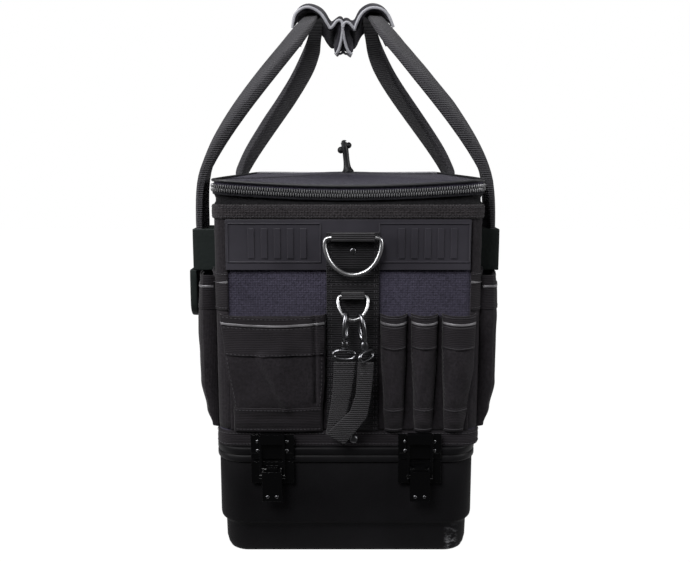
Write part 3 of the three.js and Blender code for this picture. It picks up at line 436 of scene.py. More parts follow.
def piece(
    name, mesh, material, slot, nodes=(), body="bag", wall=0.0, bevel=0.0, rounds=0, angle=35, segments=2
):
    """Makes a mesh into a finished piece that stands for its CAD nodes and rides on its body."""
    data = bpy.data.meshes.new(name)
    mesh.to_mesh(data)
    mesh.free()
    data.materials.append(material)
    for face in data.polygons:
        face.use_smooth = True
    made = bpy.data.objects.new(name, data)
    bpy.context.scene.collection.objects.link(made)
    if wall:
        shell = made.modifiers.new("Wall", "SOLIDIFY")
        shell.thickness = wall * MM
        shell.offset = -1
    if bevel:
        edge = made.modifiers.new("Edges", "BEVEL")
        edge.width = bevel * MM
        edge.segments = segments
        edge.limit_method = "ANGLE"
        edge.angle_limit = math.radians(angle)
        edge.harden_normals = True
    if rounds:
        smooth = made.modifiers.new("Rounds", "SUBSURF")
        smooth.levels = rounds
        smooth.render_levels = rounds
    if not rounds:
        data.set_sharp_from_angle(angle=math.radians(angle))
    if nodes:
        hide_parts(*nodes)
    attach(made, body)
    return made


def cad_mesh(node):
    """A merged copy of a CAD node's mesh, with its flat faces joined, in the frame's place."""
    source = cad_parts[node]
    mesh = bmesh.new()
    mesh.from_mesh(source.data)
    mesh.transform(source.matrix_world)
    bmesh.ops.remove_doubles(mesh, verts=mesh.verts, dist=0.02 * MM)
    bmesh.ops.dissolve_limit(mesh, angle_limit=math.radians(1.0), verts=mesh.verts, edges=mesh.edges)
    return mesh


def evaluated(made):
    """A new mesh with a piece's modifiers applied."""
    graph = bpy.context.evaluated_depsgraph_get()
    return bpy.data.meshes.new_from_object(made.evaluated_get(graph))


def plump(made, voxel, pressure, cap):
    """Swells a padded piece as filled cloth, no corner by more than the cap, and leaves plain geometry."""
    material = made.data.materials[0]
    made.data = evaluated(made)
    made.modifiers.clear()
    even = made.modifiers.new("Even", "REMESH")
    even.mode = "VOXEL"
    even.voxel_size = voxel * MM
    even.use_smooth_shade = True
    made.data = evaluated(made)
    made.modifiers.clear()
    start = [vert.co.copy() for vert in made.data.vertices]
    cloth = made.modifiers.new("Filled", "CLOTH").settings
    cloth.use_pressure = True
    cloth.uniform_pressure_force = pressure
    cloth.effector_weights.gravity = 0
    for step in range(1, 21):
        bpy.context.scene.frame_set(step)
    swollen = evaluated(made)
    made.modifiers.clear()
    for vert, first in zip(swollen.vertices, start):
        move = vert.co - first
        if move.length > cap * MM:
            vert.co = first + move.normalized() * cap * MM
    bpy.context.scene.frame_set(1)
    made.data = swollen
    made.data.materials.clear()
    made.data.materials.append(material)
    for face in made.data.polygons:
        face.use_smooth = True
    smooth = made.modifiers.new("Rounds", "SUBSURF")
    smooth.levels = 1
    smooth.render_levels = 1


def hoop(plan, rows, count, bend=None, capped=False):
    """A mesh round a plan, a row for each (out, z); bend(point, normal) gives what to add to both."""

    def place(u, v):
        out, z = rows[round(v * (len(rows) - 1))]
        spot, normal = plan.at(u)
        if bend:
            more, lift = bend(Vector((spot.x, spot.y, z)), normal)
            out += more
            z += lift
        spot = plan.at(u, out)[0]
        return spot.x, spot.y, z

    mesh = grid(count, len(rows) - 1, place, closed=True)
    if capped:
        bmesh.ops.holes_fill(mesh, edges=mesh.edges, sides=0)
    return mesh


def round_line(plan, out, z, count=420, bend=None):
    """The points of a line sewn round a plan at one height."""
    line = []
    for step in range(count + 1):
        spot, normal = plan.at(step / count)
        more, lift = bend(Vector((spot.x, spot.y, z)), normal) if bend else (0, 0)
        spot = spot + normal * (out + more)
        line.append((spot.x, spot.y, z + lift))
    return line


BODY_PLAN = Plan(HEM_LOW, HEM_HIGH, BODY_CORNER + 2)
BODY_FACE = -2.6
CLOTH_WALL = 2.4
LOOP_FACES = 260
SEAM_LEFT = -111.0
SEAM_RIGHT = 122.0


def cloth_swell(settings, spot, normal):
    """How far the body's cloth stands out at a place: slack between its seams, and drawn in at them."""
    share = (spot.z - HEM_LOW.z) / (BINDING_LOW.z - HEM_LOW.z)
    slack = math.sin(math.pi * min(max(share, 0), 1))
    side = abs(normal.x)
    wide = ripple(spot, 95, 1.0) * 0.9 + ripple(spot, 34, 2.0) * 0.45 + ripple(spot, 13, 3.0) * 0.12
    seam = min(abs(spot.x - SEAM_LEFT), abs(spot.x - SEAM_RIGHT)) if normal.y < -0.9 else 50
    return slack * (wide * settings.wrinkle + side * 0.6) - 0.9 * math.exp(-((seam / 1.4) ** 2))


CAMERA_PLACE = (0.00115, -0.9437, 0.392)
CAMERA_TILT = 81.15
CAMERA_LENS = 40.54
WORLD_LIGHT = 0.05
# Each lamp's name, place, aim, size and share of the key lamp's power
LAMPS = [
    ("key", (-0.75, -1.35, 1.7), (0.0, 0.0, 0.3), 0.9, 1.0),
    ("left rim", (-1.5, -0.75, 0.8), (0.0, -0.1, 0.3), 0.7, 0.35),
    ("right rim", (1.5, -0.7, 0.8), (0.0, -0.1, 0.3), 0.7, 0.35),
    ("top", (0.0, 0.5, 1.9), (0.0, 0.0, 0.4), 1.0, 0.3),
]

NYLON = (0.030, 0.0275, 0.041)
BROWN_BLACK = (0.0125, 0.0110, 0.0128)
WEB_BLACK = (0.0135, 0.013, 0.0145)
BASE_BLACK = (0.0048, 0.0046, 0.0052)
# Near-black collar: the collar cloth's own dark colour together with painted shade for the hollow under the
# zip
COLLAR_DARK_AND_PAINTED_SHADE = (0.006, 0.0058, 0.0065)
BINDING_BROWN = (0.018, 0.0162, 0.0175)
HANDLE_GREY = (0.040, 0.039, 0.043)
STRAP_GREY = (0.030, 0.029, 0.031)
GRIP_GREY = (0.020, 0.019, 0.024)
TAB_GREEN_BLACK = (0.006, 0.0085, 0.008)
ZIP_BLACK = (0.010, 0.010, 0.012)
# Light grey for the rear stretch of the lid piping: a painted highlight for the glint on the lid's far edge
PAINTED_FAR_GLINT = (0.30, 0.30, 0.32)
LACQUER = (0.0015, 0.0015, 0.0017)

FINISHES = {
    "nylon": lambda: woven("nylon", NYLON, 2.3 * MM, contrast=0.5, worn=0.6, relief=0.0004),
    "pocket cloth": lambda: woven("pocket cloth", BROWN_BLACK, 1.3 * MM, "wall", 0.4, 0.0003, worn=0.7),
    "lid cloth": lambda: woven("lid cloth", tone(NYLON, 0.9), 1.1 * MM, lay="flat", contrast=0.3),
    "collar cloth": lambda: woven("collar cloth", COLLAR_DARK_AND_PAINTED_SHADE, 1.2 * MM, contrast=0.4),
    "binding": lambda: woven("binding", BINDING_BROWN, 2.6 * MM, contrast=0.9, worn=0.8, relief=0.0008),
    "hem webbing": lambda: ribbed("hem webbing", tone(BROWN_BLACK, 1.15), 1.7 * MM, relief=0.0002),
    "wide webbing": lambda: ribbed("wide webbing", WEB_BLACK, 2.2 * MM, relief=0.0005),
    "handle webbing": lambda: ribbed("handle webbing", HANDLE_GREY, 2.1 * MM, relief=0.0005),
    "narrow webbing": lambda: ribbed("narrow webbing", STRAP_GREY, 2.0 * MM, relief=0.0005),
    "grip cloth": lambda: woven("grip cloth", GRIP_GREY, 1.2 * MM, lay="strap", contrast=0.3),
    "light piping": lambda: moulded("light piping", (0.22, 0.22, 0.24), roughness=0.45, grain=700),
    # The lid piping turns light grey along its rear stretch, a painted highlight for the glint on the far
    # edge
    "lid piping": lambda: cord_with_painted_far_glint("lid piping", ZIP_BLACK, PAINTED_FAR_GLINT, 0.17),
    "reflective": lambda: reflective_tape("reflective", (0.16, 0.155, 0.165)),
    "thread": lambda: moulded("thread", (0.035, 0.033, 0.037), roughness=0.6, grain=1500),
    "zip teeth": lambda: plated("zip teeth", (0.16, 0.16, 0.165), roughness=0.3, metallic=0.3),
    "zip tape": lambda: woven("zip tape", ZIP_BLACK, 0.9 * MM, contrast=0.4),
    "moulded panel": lambda: moulded("moulded panel", (0.022, 0.0205, 0.026), roughness=0.4, grain=1600),
    "tab rubber": lambda: moulded("tab rubber", TAB_GREEN_BLACK, 0.6, 260, relief=0.0006, shine=0.15),
    "pull rubber": lambda: moulded("pull rubber", (0.006, 0.006, 0.007), roughness=0.45),
    "base": lambda: moulded("base", BASE_BLACK, 0.6, grain=420, relief=0.0003, scuff=1.0, shine=0.03),
    "rim": lambda: moulded("rim", BASE_BLACK, 0.45, grain=900, shine=0.08),
    "nickel": lambda: plated("nickel", (0.42, 0.42, 0.43), roughness=0.34),
    "black nickel": lambda: plated("black nickel", (0.16, 0.16, 0.17), roughness=0.26),
    "latch lacquer": lambda: plated("latch lacquer", LACQUER, 0.14, 0.0, (0.02, 0.02, 0.02)),
}


def finish(name):
    """The material of that name, made the first time it is asked for."""
    return bpy.data.materials.get(DRESSED + name) or FINISHES[name]()


def lid_sag(spot, normal):
    """The lid's edge droops in the middle of each end, as it hangs between the corners."""
    half_x = (LID_HIGH.x - LID_LOW.x) / 2
    half_y = (LID_HIGH.y - LID_LOW.y) / 2
    across = max(0, math.cos(math.pi * (spot.x - BODY_PLAN.middle.x) / (2 * half_x + 8)))
    along_y = spot.y - BODY_PLAN.middle.y
    near_end = smoothstep(half_y * 0.55, half_y, abs(along_y)) * (1 if along_y < 0 else 0.15)
    return 0, -6.0 * across * near_end


def dress(node, material, slot, body="bag", bevel=0.0, rounds=0, grow=0.0, segments=2):
    """A finished piece on the shape of one CAD node, grown to make up for what rounding takes off."""
    mesh = cad_mesh(node)
    if grow:
        bmesh.ops.recalc_face_normals(mesh, faces=mesh.faces)
        mesh.normal_update()
        for vert in mesh.verts:
            vert.co += vert.normal * grow * MM
    shape = {"bevel": bevel, "rounds": rounds, "segments": segments}
    return piece(node + "_dressed", mesh, finish(material), slot, (node,), body, **shape)


class ToolBagSettings(bpy.types.PropertyGroup):
    wrinkle: FloatProperty(
        name="Wrinkle",
        description="How far the soft cloth stands in and out between its seams, as a share of the worn look",
        default=1.0,
        min=0.0,
    )
    bulge: FloatProperty(
        name="Pocket bulge",
        description="How full the front pockets look, as a share of their room",
        default=1.0,
        min=0.1,
        max=1.0,
    )
    stitch_inset: FloatProperty(
        name="Stitch inset",
        description="How far the seams' stitches lie from the edge of their band",
        default=0.0026,
        unit="LENGTH",
        subtype="DISTANCE",
    )
    key_power: FloatProperty(
        name="Key power",
        description="Power of the big soft lamp over the camera",
        default=52.0,
        unit="POWER",
    )


TUB_CORNER = 29
TUB_STEP = 31.0
TUB_WALL = 3.0
RIM_CORNER = 30


class TOOLBAG_OT_base(bpy.types.Operator):
    """Make the moulded base tub and its welted rim"""

    bl_idname = "toolbag.base"
    bl_label = "Base"

    def execute(self, context):
        low, high = box_mm("base_tub")
        plan = Plan(low, high, TUB_CORNER)
        step, wall = TUB_STEP, TUB_WALL
        foot = [(-13, 0), (-10.5, 0.4), (-8.6, 1.6), (-6.8, 5), (-5.4, 11), (-5.0, step - 3)]
        ledge = [(-4.6, step - 1), (-3.2, step + 1.6), (-0.8, step + 3.4), (-0.2, step + 5), (0, step + 8)]
        lip = [(0, 60), (0, high.z - 1), (-0.6, high.z), (-wall + 0.6, high.z), (-wall, high.z - 1)]
        rows = foot + ledge + lip + [(-wall, step + 8), (-8, step), (-9, wall)]
        tub = hoop(plan, rows, LOOP_FACES, capped=True)
        piece("base_tub_dressed", tub, finish("base"), "base", ("base_tub",), angle=50)
        low, high = box_mm("base_rim")
        plan = Plan(low, high, RIM_CORNER)
        tall = high.z - low.z
        profile = [(-5, 0), (-1.0, 0), (-0.2, 0.04), (0, 0.12), (0, 0.38), (-0.5, 0.42), (-0.9, 0.46)]
        profile += [(-0.5, 0.50), (0, 0.56), (0, 0.86), (-0.3, 0.95), (-1.1, 1), (-5, 1), (-5, 0.5), (-5, 0)]
        rim = hoop(plan, [(out, low.z + up * tall) for out, up in profile], LOOP_FACES)
        bmesh.ops.remove_doubles(rim, verts=rim.verts, dist=0.01 * MM)
        piece("base_rim_dressed", rim, finish("rim"), "base", ("base_rim",), angle=50)
        return {"FINISHED"}


class TOOLBAG_OT_body(bpy.types.Operator):
    """Make the cloth body with its hem, its binding and their stitches"""

    bl_idname = "toolbag.body"
    bl_label = "Body"

    def execute(self, context):
        settings = context.scene.tool_bag
        top = BINDING_LOW.z + 2
        levels = [BODY_LOW.z + (top - BODY_LOW.z) * i / 60 for i in range(61)]
        rows = [(BODY_FACE, z) for z in levels]
        rows += [(BODY_FACE - 0.3, top + 7)]

        def swell(spot, normal):
            return cloth_swell(settings, spot, normal), 0

        def crumple(spot, normal):
            return ripple(spot, 20, 2.5) * 0.5, 0

        body = hoop(BODY_PLAN, rows, LOOP_FACES, swell)
        piece("body_cloth", body, finish("nylon"), "cloth", ("body_shell",), wall=CLOTH_WALL)
        tall = BODY_HIGH.z - top
        # The collar is real cloth, coloured near black as painted shade for the hollow under the zip
        collar = [(-2.0, 0.1), (-1.9, 0.5), (-2.4, 0.58), (-3.6, 0.66), (-3.8, 0.8), (-2.6, 0.94), (-2.4, 1)]
        dark = hoop(BODY_PLAN, [(out, top + up * tall) for out, up in collar], LOOP_FACES, crumple)
        piece("collar_cloth", dark, finish("collar cloth"), "cloth", wall=1.5)
        self.band("hem", HEM_LOW, HEM_HIGH, "hem_band", "hem webbing", settings)
        self.band("binding", BINDING_LOW, BINDING_HIGH, "top_binding", "binding", settings)
        return {"FINISHED"}

    @staticmethod
    def band(name, low, high, node, material, settings):
        """A stitched band round the body, from one height to another."""
        plan = Plan(low, high, BODY_CORNER + 2)
        inset = settings.stitch_inset / MM
        curve = [(-1.4, 0), (-0.5, 0.04), (-0.2, 0.1), (-0.35, 0.2), (-0.1, 0.35), (0, 0.5), (-0.1, 0.65)]
        curve += [(-0.35, 0.8), (-0.2, 0.9), (-0.5, 0.96), (-1.4, 1)]
        rows = [(out, low.z + share * (high.z - low.z)) for out, share in curve]

        def pucker(spot, normal):
            return ripple(spot, 18, 4.0) * 0.35 + ripple(spot, 5, 5.0) * 0.22 - 0.2, 0

        soft = hoop(plan, rows, LOOP_FACES, pucker)
        piece(name + "_band", soft, finish(material), "binding", (node,), wall=0.9)
        lines = [round_line(plan, -0.15, z) for z in (low.z + inset, high.z - inset)]
        piece(name + "_stitches", stitches(lines), finish("thread"), "binding")


ZIP_PITCH = 2.3


class TOOLBAG_OT_lid(bpy.types.Operator):
    """Make the soft lid, its piping, the zip round it and the standing pull"""

    bl_idname = "toolbag.lid"
    bl_label = "Lid and zip"

    def execute(self, context):
        low, high = LID_LOW, LID_HIGH
        plan = Plan(low, high, BODY_CORNER)
        rise = high.z - low.z
        half = (high.x - low.x) / 2
        table = [(-3.6, 0.02), (-1.2, 0.1), (-0.2, 0.2), (-0.2, 0.55), (-0.5, 0.66), (-2.2, 0.76), (-8, 0.78)]
        table += [(-16, 0.77), (-30, 0.77), (-0.4 * half, 0.8), (-0.6 * half, 0.87), (-0.8 * half, 0.95)]
        table += [(-0.97 * half, 1)]
        rows = [(out, low.z + share * rise) for out, share in table]

        def bend(spot, normal):
            soft = smoothstep(low.z + 0.7 * rise, low.z + 0.95 * rise, spot.z)
            lift = ripple(spot, 60, 5.0) * 0.9 * soft
            return 0, lid_sag(spot, normal)[1] * (1 - 0.5 * soft) + lift

        top = hoop(plan, rows, LOOP_FACES, bend)
        above = (low.z + 6) * MM
        crown = [edge for edge in top.edges if edge.is_boundary and edge.verts[0].co.z > above]
        bmesh.ops.holes_fill(top, edges=crown, sides=0)
        piece("lid_cloth", top, finish("lid cloth"), "cloth", ("lid",), wall=2.2, angle=60)
        edge = low.z + 0.8 * rise
        piping = tube(through(round_line(plan, 0.4, edge, 480, lid_sag)), 1.5, 480, closed=True)
        piece("lid_cord", piping, finish("lid piping"), "piping", ("lid_piping",))
        self.zip_band(Plan(ZIP_LOW, ZIP_HIGH, BODY_CORNER + 1))
        dress("zip_pull", "pull rubber", "rubber", rounds=2, grow=0.9)
        return {"FINISHED"}

    @staticmethod
    def zip_band(plan):
        """The tape, then a closed coil of teeth on its middle line."""
        middle = (ZIP_LOW.z + ZIP_HIGH.z) / 2 - 0.6
        profile = [(-1.5, -6.4), (-1.0, -5.8), (-0.8, -2), (-0.8, 2), (-1.0, 3.4)]
        rows = [(out, middle + rise) for out, rise in profile]
        tape = hoop(plan, rows, LOOP_FACES, lid_sag)
        piece("zip_tape", tape, finish("zip tape"), "zip", wall=0.8)
        count = int(plan.length / ZIP_PITCH)
        teeth = bmesh.new()
        for k in range(count):
            for half in (-1, 1):
                spot, normal = plan.at((k + half * 0.25) / count)
                lift = lid_sag(Vector((spot.x, spot.y, middle)), normal)[1]
                spot = spot + normal * -0.2
                place = Matrix.Translation((spot.x * MM, spot.y * MM, (middle + half * 1.7 + lift) * MM))
                turn = Matrix.Rotation(math.atan2(normal.y, normal.x), 4, "Z")
                size = Matrix.Diagonal((1.1 * MM, 0.72 * MM, 2.1 * MM, 1))
                bmesh.ops.create_icosphere(teeth, subdivisions=1, radius=1, matrix=place @ turn @ size)
        piece("zip_teeth", teeth, finish("zip teeth"), "zip", ("zip_chain",))


def slab(mesh, low, high):
    """Adds a rectangular block to a mesh, between two corners in millimetres."""
    low, high = Vector(low), Vector(high)
    size = Matrix.Diagonal(((high - low) * MM).to_4d())
    bmesh.ops.create_cube(mesh, size=1, matrix=Matrix.Translation((low + high) / 2 * MM) @ size)


def stand_off(low, high, facing, inner, outer):
    """The two y values of a layer on an end of the bag, from its inner to its outer distance."""
    face = high.y if facing < 0 else low.y
    values = face + facing * inner, face + facing * outer
    return min(values), max(values)


class TOOLBAG_OT_panels(bpy.types.Operator):
    """Make the moulded panel on each end, with its framed fields of upright bars"""

    bl_idname = "toolbag.panels"
    bl_label = "End panels"

    def execute(self, context):
        for end, facing in (("front", -1), ("rear", 1)):
            node = "end_panel_" + end
            low, high = box_mm(node)
            strip_low, strip_high = box_mm("webbing_" + end)
            mesh = bmesh.new()
            y_low, y_high = stand_off(low, high, facing, 0, 2.5)
            slab(mesh, (low.x, y_low, low.z), (high.x, y_high, high.z))
            for left, right in ((low.x + 1.6, strip_low.x - 5), (strip_high.x - 0.6, high.x - 0.6)):
                self.field(mesh, low, high, facing, left, right)
            piece(node + "_moulding", mesh, finish("moulded panel"), "panel", (node,), bevel=0.45)
        return {"FINISHED"}

    @staticmethod
    def field(mesh, low, high, facing, left, right):
        """A raised frame with five bars in it."""
        bottom, top = high.z - 41, high.z - 3.2
        y_low, y_high = stand_off(low, high, facing, 2.4, 3.3)
        edge = 1.3
        slab(mesh, (left, y_low, bottom), (left + edge, y_high, top))
        slab(mesh, (right - edge, y_low, bottom), (right, y_high, top))
        slab(mesh, (left, y_low, bottom), (right, y_high, bottom + edge))
        slab(mesh, (left, y_low, top - edge), (right, y_high, top))
        middle = (left + right) / 2 + 3
        y_low, y_high = stand_off(low, high, facing, 2.4, 3.4)
        for k in range(-2, 3):
            x = middle + k * 12.35
            slab(mesh, (x - 3, y_low, bottom + 4), (x + 3, y_high, top - 5))


STRIP_STEP = 286
RIVET_HEIGHT = 307.4


class TOOLBAG_OT_webbing(bpy.types.Operator):
    """Make the wide webbing strip on each end, sewn over the panel and held by a rivet"""

    bl_idname = "toolbag.webbing"
    bl_label = "Webbing strips"

    def execute(self, context):
        for node, facing in (("webbing_front", -1), ("webbing_rear", 1)):
            low, high = box_mm(node)
            face = high.y if facing < 0 else low.y
            steps = [(low.z, 2.4), (STRIP_STEP, 2.4), (STRIP_STEP + 6, 4.9), (high.z, 4.9)]

            def place(u, v):
                z = low.z + v * (high.z - low.z)
                sew = 0.35 * math.exp(-(((min(u, 1 - u) * 50 - 2.4) / 1.2) ** 2))
                out = along(steps, z) + ripple((u * 50, 0, z), 22, 6.0) * 0.25 - sew
                x = low.x + (u if facing < 0 else 1 - u) * (high.x - low.x)
                return x, face + facing * out, z

            strip = grid(40, 150, place)
            piece(node + "_strip", strip, finish("wide webbing"), "webbing", (node,), wall=2.0)
            lift = facing * 0.1
            lines = []
            for u in (0.045, 0.09, 0.91, 0.955):
                lines.append([Vector(place(u, k / 12)) + Vector((0, lift, 0)) for k in range(13)])
            for z in (STRIP_STEP - 11, STRIP_STEP - 8, RIVET_HEIGHT + 13.6, high.z - 1.6):
                v = (z - low.z) / (high.z - low.z)
                lines.append([Vector(place(u, v)) + Vector((0, lift, 0)) for u in (0.05, 0.5, 0.95)])
            piece(node + "_stitches", stitches(lines), finish("thread"), "webbing")
            rivet = bmesh.new()
            spot = Matrix.Translation(Vector(place(0.5, (RIVET_HEIGHT - low.z) / (high.z - low.z))) * MM)
            size = Matrix.Diagonal((3.0 * MM, 1.1 * MM, 3.0 * MM, 1))
            bmesh.ops.create_uvsphere(rivet, u_segments=24, v_segments=12, radius=1, matrix=spot @ size)
            piece(node + "_rivet", rivet, finish("black nickel"), "nickel")
        return {"FINISHED"}


class TOOLBAG_OT_rings(bpy.types.Operator):
    """Make the D-rings, their cloth keepers and the two snap hooks"""

    bl_idname = "toolbag.rings"
    bl_label = "Rings and hooks"

    def execute(self, context):
        dress("ring_large_front", "nickel", "nickel", "large_ring", rounds=2, grow=0.25)
        for node in ("ring_large_rear", "ring_small"):
            dress(node, "nickel", "nickel", rounds=2, grow=0.25)
        for node in ("snap_hook_left", "snap_hook_right"):
            dress(node, "black nickel", "nickel", rounds=2, grow=0.75)
        for node in ("ring_keeper_front", "ring_keeper_rear", "small_keeper"):
            dress(node, "narrow webbing", "webbing", bevel=0.5)
        return {"FINISHED"}


FRONT_POCKETS = [
    {
        "node": "pocket_large",
        "left": [(0, -107.5), (0.2, -107.5), (0.68, -115.3), (1, -119)],
        "right": [(0, -20.5), (0.15, -20.5), (0.5, -17.6), (1, -17.0)],
        "arch": 0.16,
        "band": 39,
        "sag": 2.4,
        "folds": [
            ((-77, 207), (-55, 157), 5, 3.6),
            ((-50, 205), (-32, 160), 9, -2.6),
            ((-28, 250), (-27, 160), 1.6, -2.2),
        ],
    },
    {
        "node": "slim_pocket_1",
        "left": [(0, 40), (0.2, 38.5), (0.7, 35.6), (1, 34.8)],
        "right": [(0, 57.5), (0.2, 58.5), (0.7, 60.5), (1, 61)],
        "arch": 0.55,
        "band": 33,
        "sag": 1.0,
        "folds": [((40, 205), (52, 150), 4, -1.0)],
    },
    {
        "node": "slim_pocket_2",
        "left": [(0, 69), (0.2, 67.6), (0.7, 65), (1, 64.4)],
        "right": [(0, 86), (0.2, 87.5), (0.7, 90), (1, 90.4)],
        "arch": 0.55,
        "band": 33,
        "sag": 0.8,
        "folds": [((85, 205), (73, 150), 4, -1.2)],
    },
    {
        "node": "slim_pocket_3",
        "left": [(0, 98), (0.2, 96.8), (0.7, 94.6), (1, 94)],
        "right": [(0, 117), (0.2, 120), (0.6, 126), (1, 127)],
        "arch": 0.45,
        "band": 33,
        "sag": 1.2,
        "folds": [((100, 200), (117, 150), 4.5, -1.8), ((106, 212), (122, 175), 4, 1.4)],
    },
]
POCKET_SWELL = [(0, 0.34), (0.1, 0.6), (0.3, 0.95), (0.6, 1), (0.85, 0.86), (1, 0.82)]


class Pocket:
    """The face of one front pocket, from a row of the table."""

    def __init__(self, row, settings):
        self.row = row
        self.low, self.high = box_mm(row["node"])
        self.deep = (self.high.y - self.low.y - 1.0) * settings.bulge
        self.settings = settings

    def at(self, u, z, off=0.0):
        """The point at a share across and a height, standing off the cloth."""
        share = (z - self.low.z) / (self.high.z - self.low.z)
        left, right = along(self.row["left"], share), along(self.row["right"], share)
        x = left + (right - left) * u
        arch = max(math.sin(math.pi * u), 0) ** self.row["arch"]
        deep = self.deep * along(POCKET_SWELL, share) * arch
        loose = smoothstep(0, 0.08, u) * smoothstep(1, 0.92, u) * smoothstep(0, 0.12, share)
        rumple = ripple((x, 0, z * 0.6), 24, 7.0) * 1.5 + ripple((x, 0, z), 9, 8.0) * 0.35
        deep += rumple * loose * self.settings.wrinkle
        for start, end, width, height in self.row["folds"]:
            deep += height * fold(x, z, start, end, width) * loose
        return Vector((x, self.high.y - max(deep, 0.4) - off, z))

    def sheet(self, bottom, top, off, columns=72, rows=90):
        sag = self.row["sag"]

        def place(u, v):
            z = bottom + (top - bottom) * v
            point = self.at(u, z, off)
            share = (z - self.low.z) / (self.high.z - self.low.z)
            point.z -= sag * math.sin(math.pi * u) * smoothstep(0.3, 1, share)
            return point

        return grid(columns, rows, place)

    def line(self, z, off, first=0.02, last=0.98, count=24):
        """The points of a seam across the pocket at one height."""
        shares = [first + (last - first) * k / count for k in range(count + 1)]
        share = smoothstep(0.3, 1, (z - self.low.z) / (self.high.z - self.low.z))
        drop = [self.row["sag"] * math.sin(math.pi * u) * share for u in shares]
        return [self.at(u, z, off) - Vector((0, 0, d)) for u, d in zip(shares, drop)]


class TOOLBAG_OT_pockets(bpy.types.Operator):
    """Make the wide pocket and the three slim ones, with their bands, piping and stitches"""

    bl_idname = "toolbag.pockets"
    bl_label = "Front pockets"

    def execute(self, context):
        self.backing()
        for row in FRONT_POCKETS:
            pocket = Pocket(row, context.scene.tool_bag)
            name, low, high = row["node"], pocket.low, pocket.high
            cloth = pocket.sheet(low.z, high.z - 0.5, 0)
            piece(name + "_cloth", cloth, finish("pocket cloth"), "cloth", (name,), wall=1.3)
            band = pocket.sheet(high.z - row["band"], high.z, 0.9, rows=36)
            piece(name + "_band", band, finish("hem webbing"), "binding", wall=1.0)
            strip = pocket.sheet(low.z, low.z + 25, 0.8, rows=24)
            piece(name + "_strip", strip, finish("hem webbing"), "binding", wall=0.8)
            light = pocket.sheet(high.z - 9.4, high.z - 7.2, 1.7, rows=4)
            piece(name + "_light", light, finish("reflective"), "piping", (name + "_piping",), wall=0.8)
            heights = (high.z - row["band"] + 1.6, high.z - 2, high.z - 11.5, low.z + 2.5, low.z + 23)
            lines = [pocket.line(z, 1.0) for z in heights]
            edges = [[pocket.at(u, low.z + 4 + k * 8.5, 0.2) for k in range(10)] for u in (0.035, 0.965)]
            piece(name + "_stitches", stitches(lines + edges), finish("thread"), "binding")
        return {"FINISHED"}

    @staticmethod
    def backing():
        """The dark cloth that the front pockets are sewn to, from seam to seam; its darkness in the gaps
        between the pockets is partly the cloth's own colour and partly painted shade.
        """
        low, high = box_mm("pocket_large")

        def place(u, v):
            x = SEAM_LEFT + u * (SEAM_RIGHT - SEAM_LEFT)
            z = low.z + v * (high.z - 3 - low.z)
            return x, BODY_LOW.y - 1.1 - 0.3 * (1 + ripple((x, 0, z), 30, 4.0)), z

        piece("pocket_backing_painted_shade", grid(80, 40, place), finish("pocket cloth"), "cloth", wall=0.6)


def corner_point(side, end, run, z, out):
    """A point run millimetres round a corner of the body from the end's seam, standing off the cloth."""
    middle = BODY_PLAN.middle
    first = SEAM_RIGHT - middle.x if side > 0 else middle.x - SEAM_LEFT
    spot, normal = BODY_PLAN.at(side * (first + run) / BODY_PLAN.length)
    spot = spot + normal * (out + BODY_FACE)
    return Vector((spot.x, spot.y if end < 0 else 2 * middle.y - spot.y, z))


SIDE_SWELL = [(0, 0.45), (0.1, 0.72), (0.28, 1), (0.7, 1), (0.86, 0.92), (1, 0.84)]
CORNER_RUN = 46


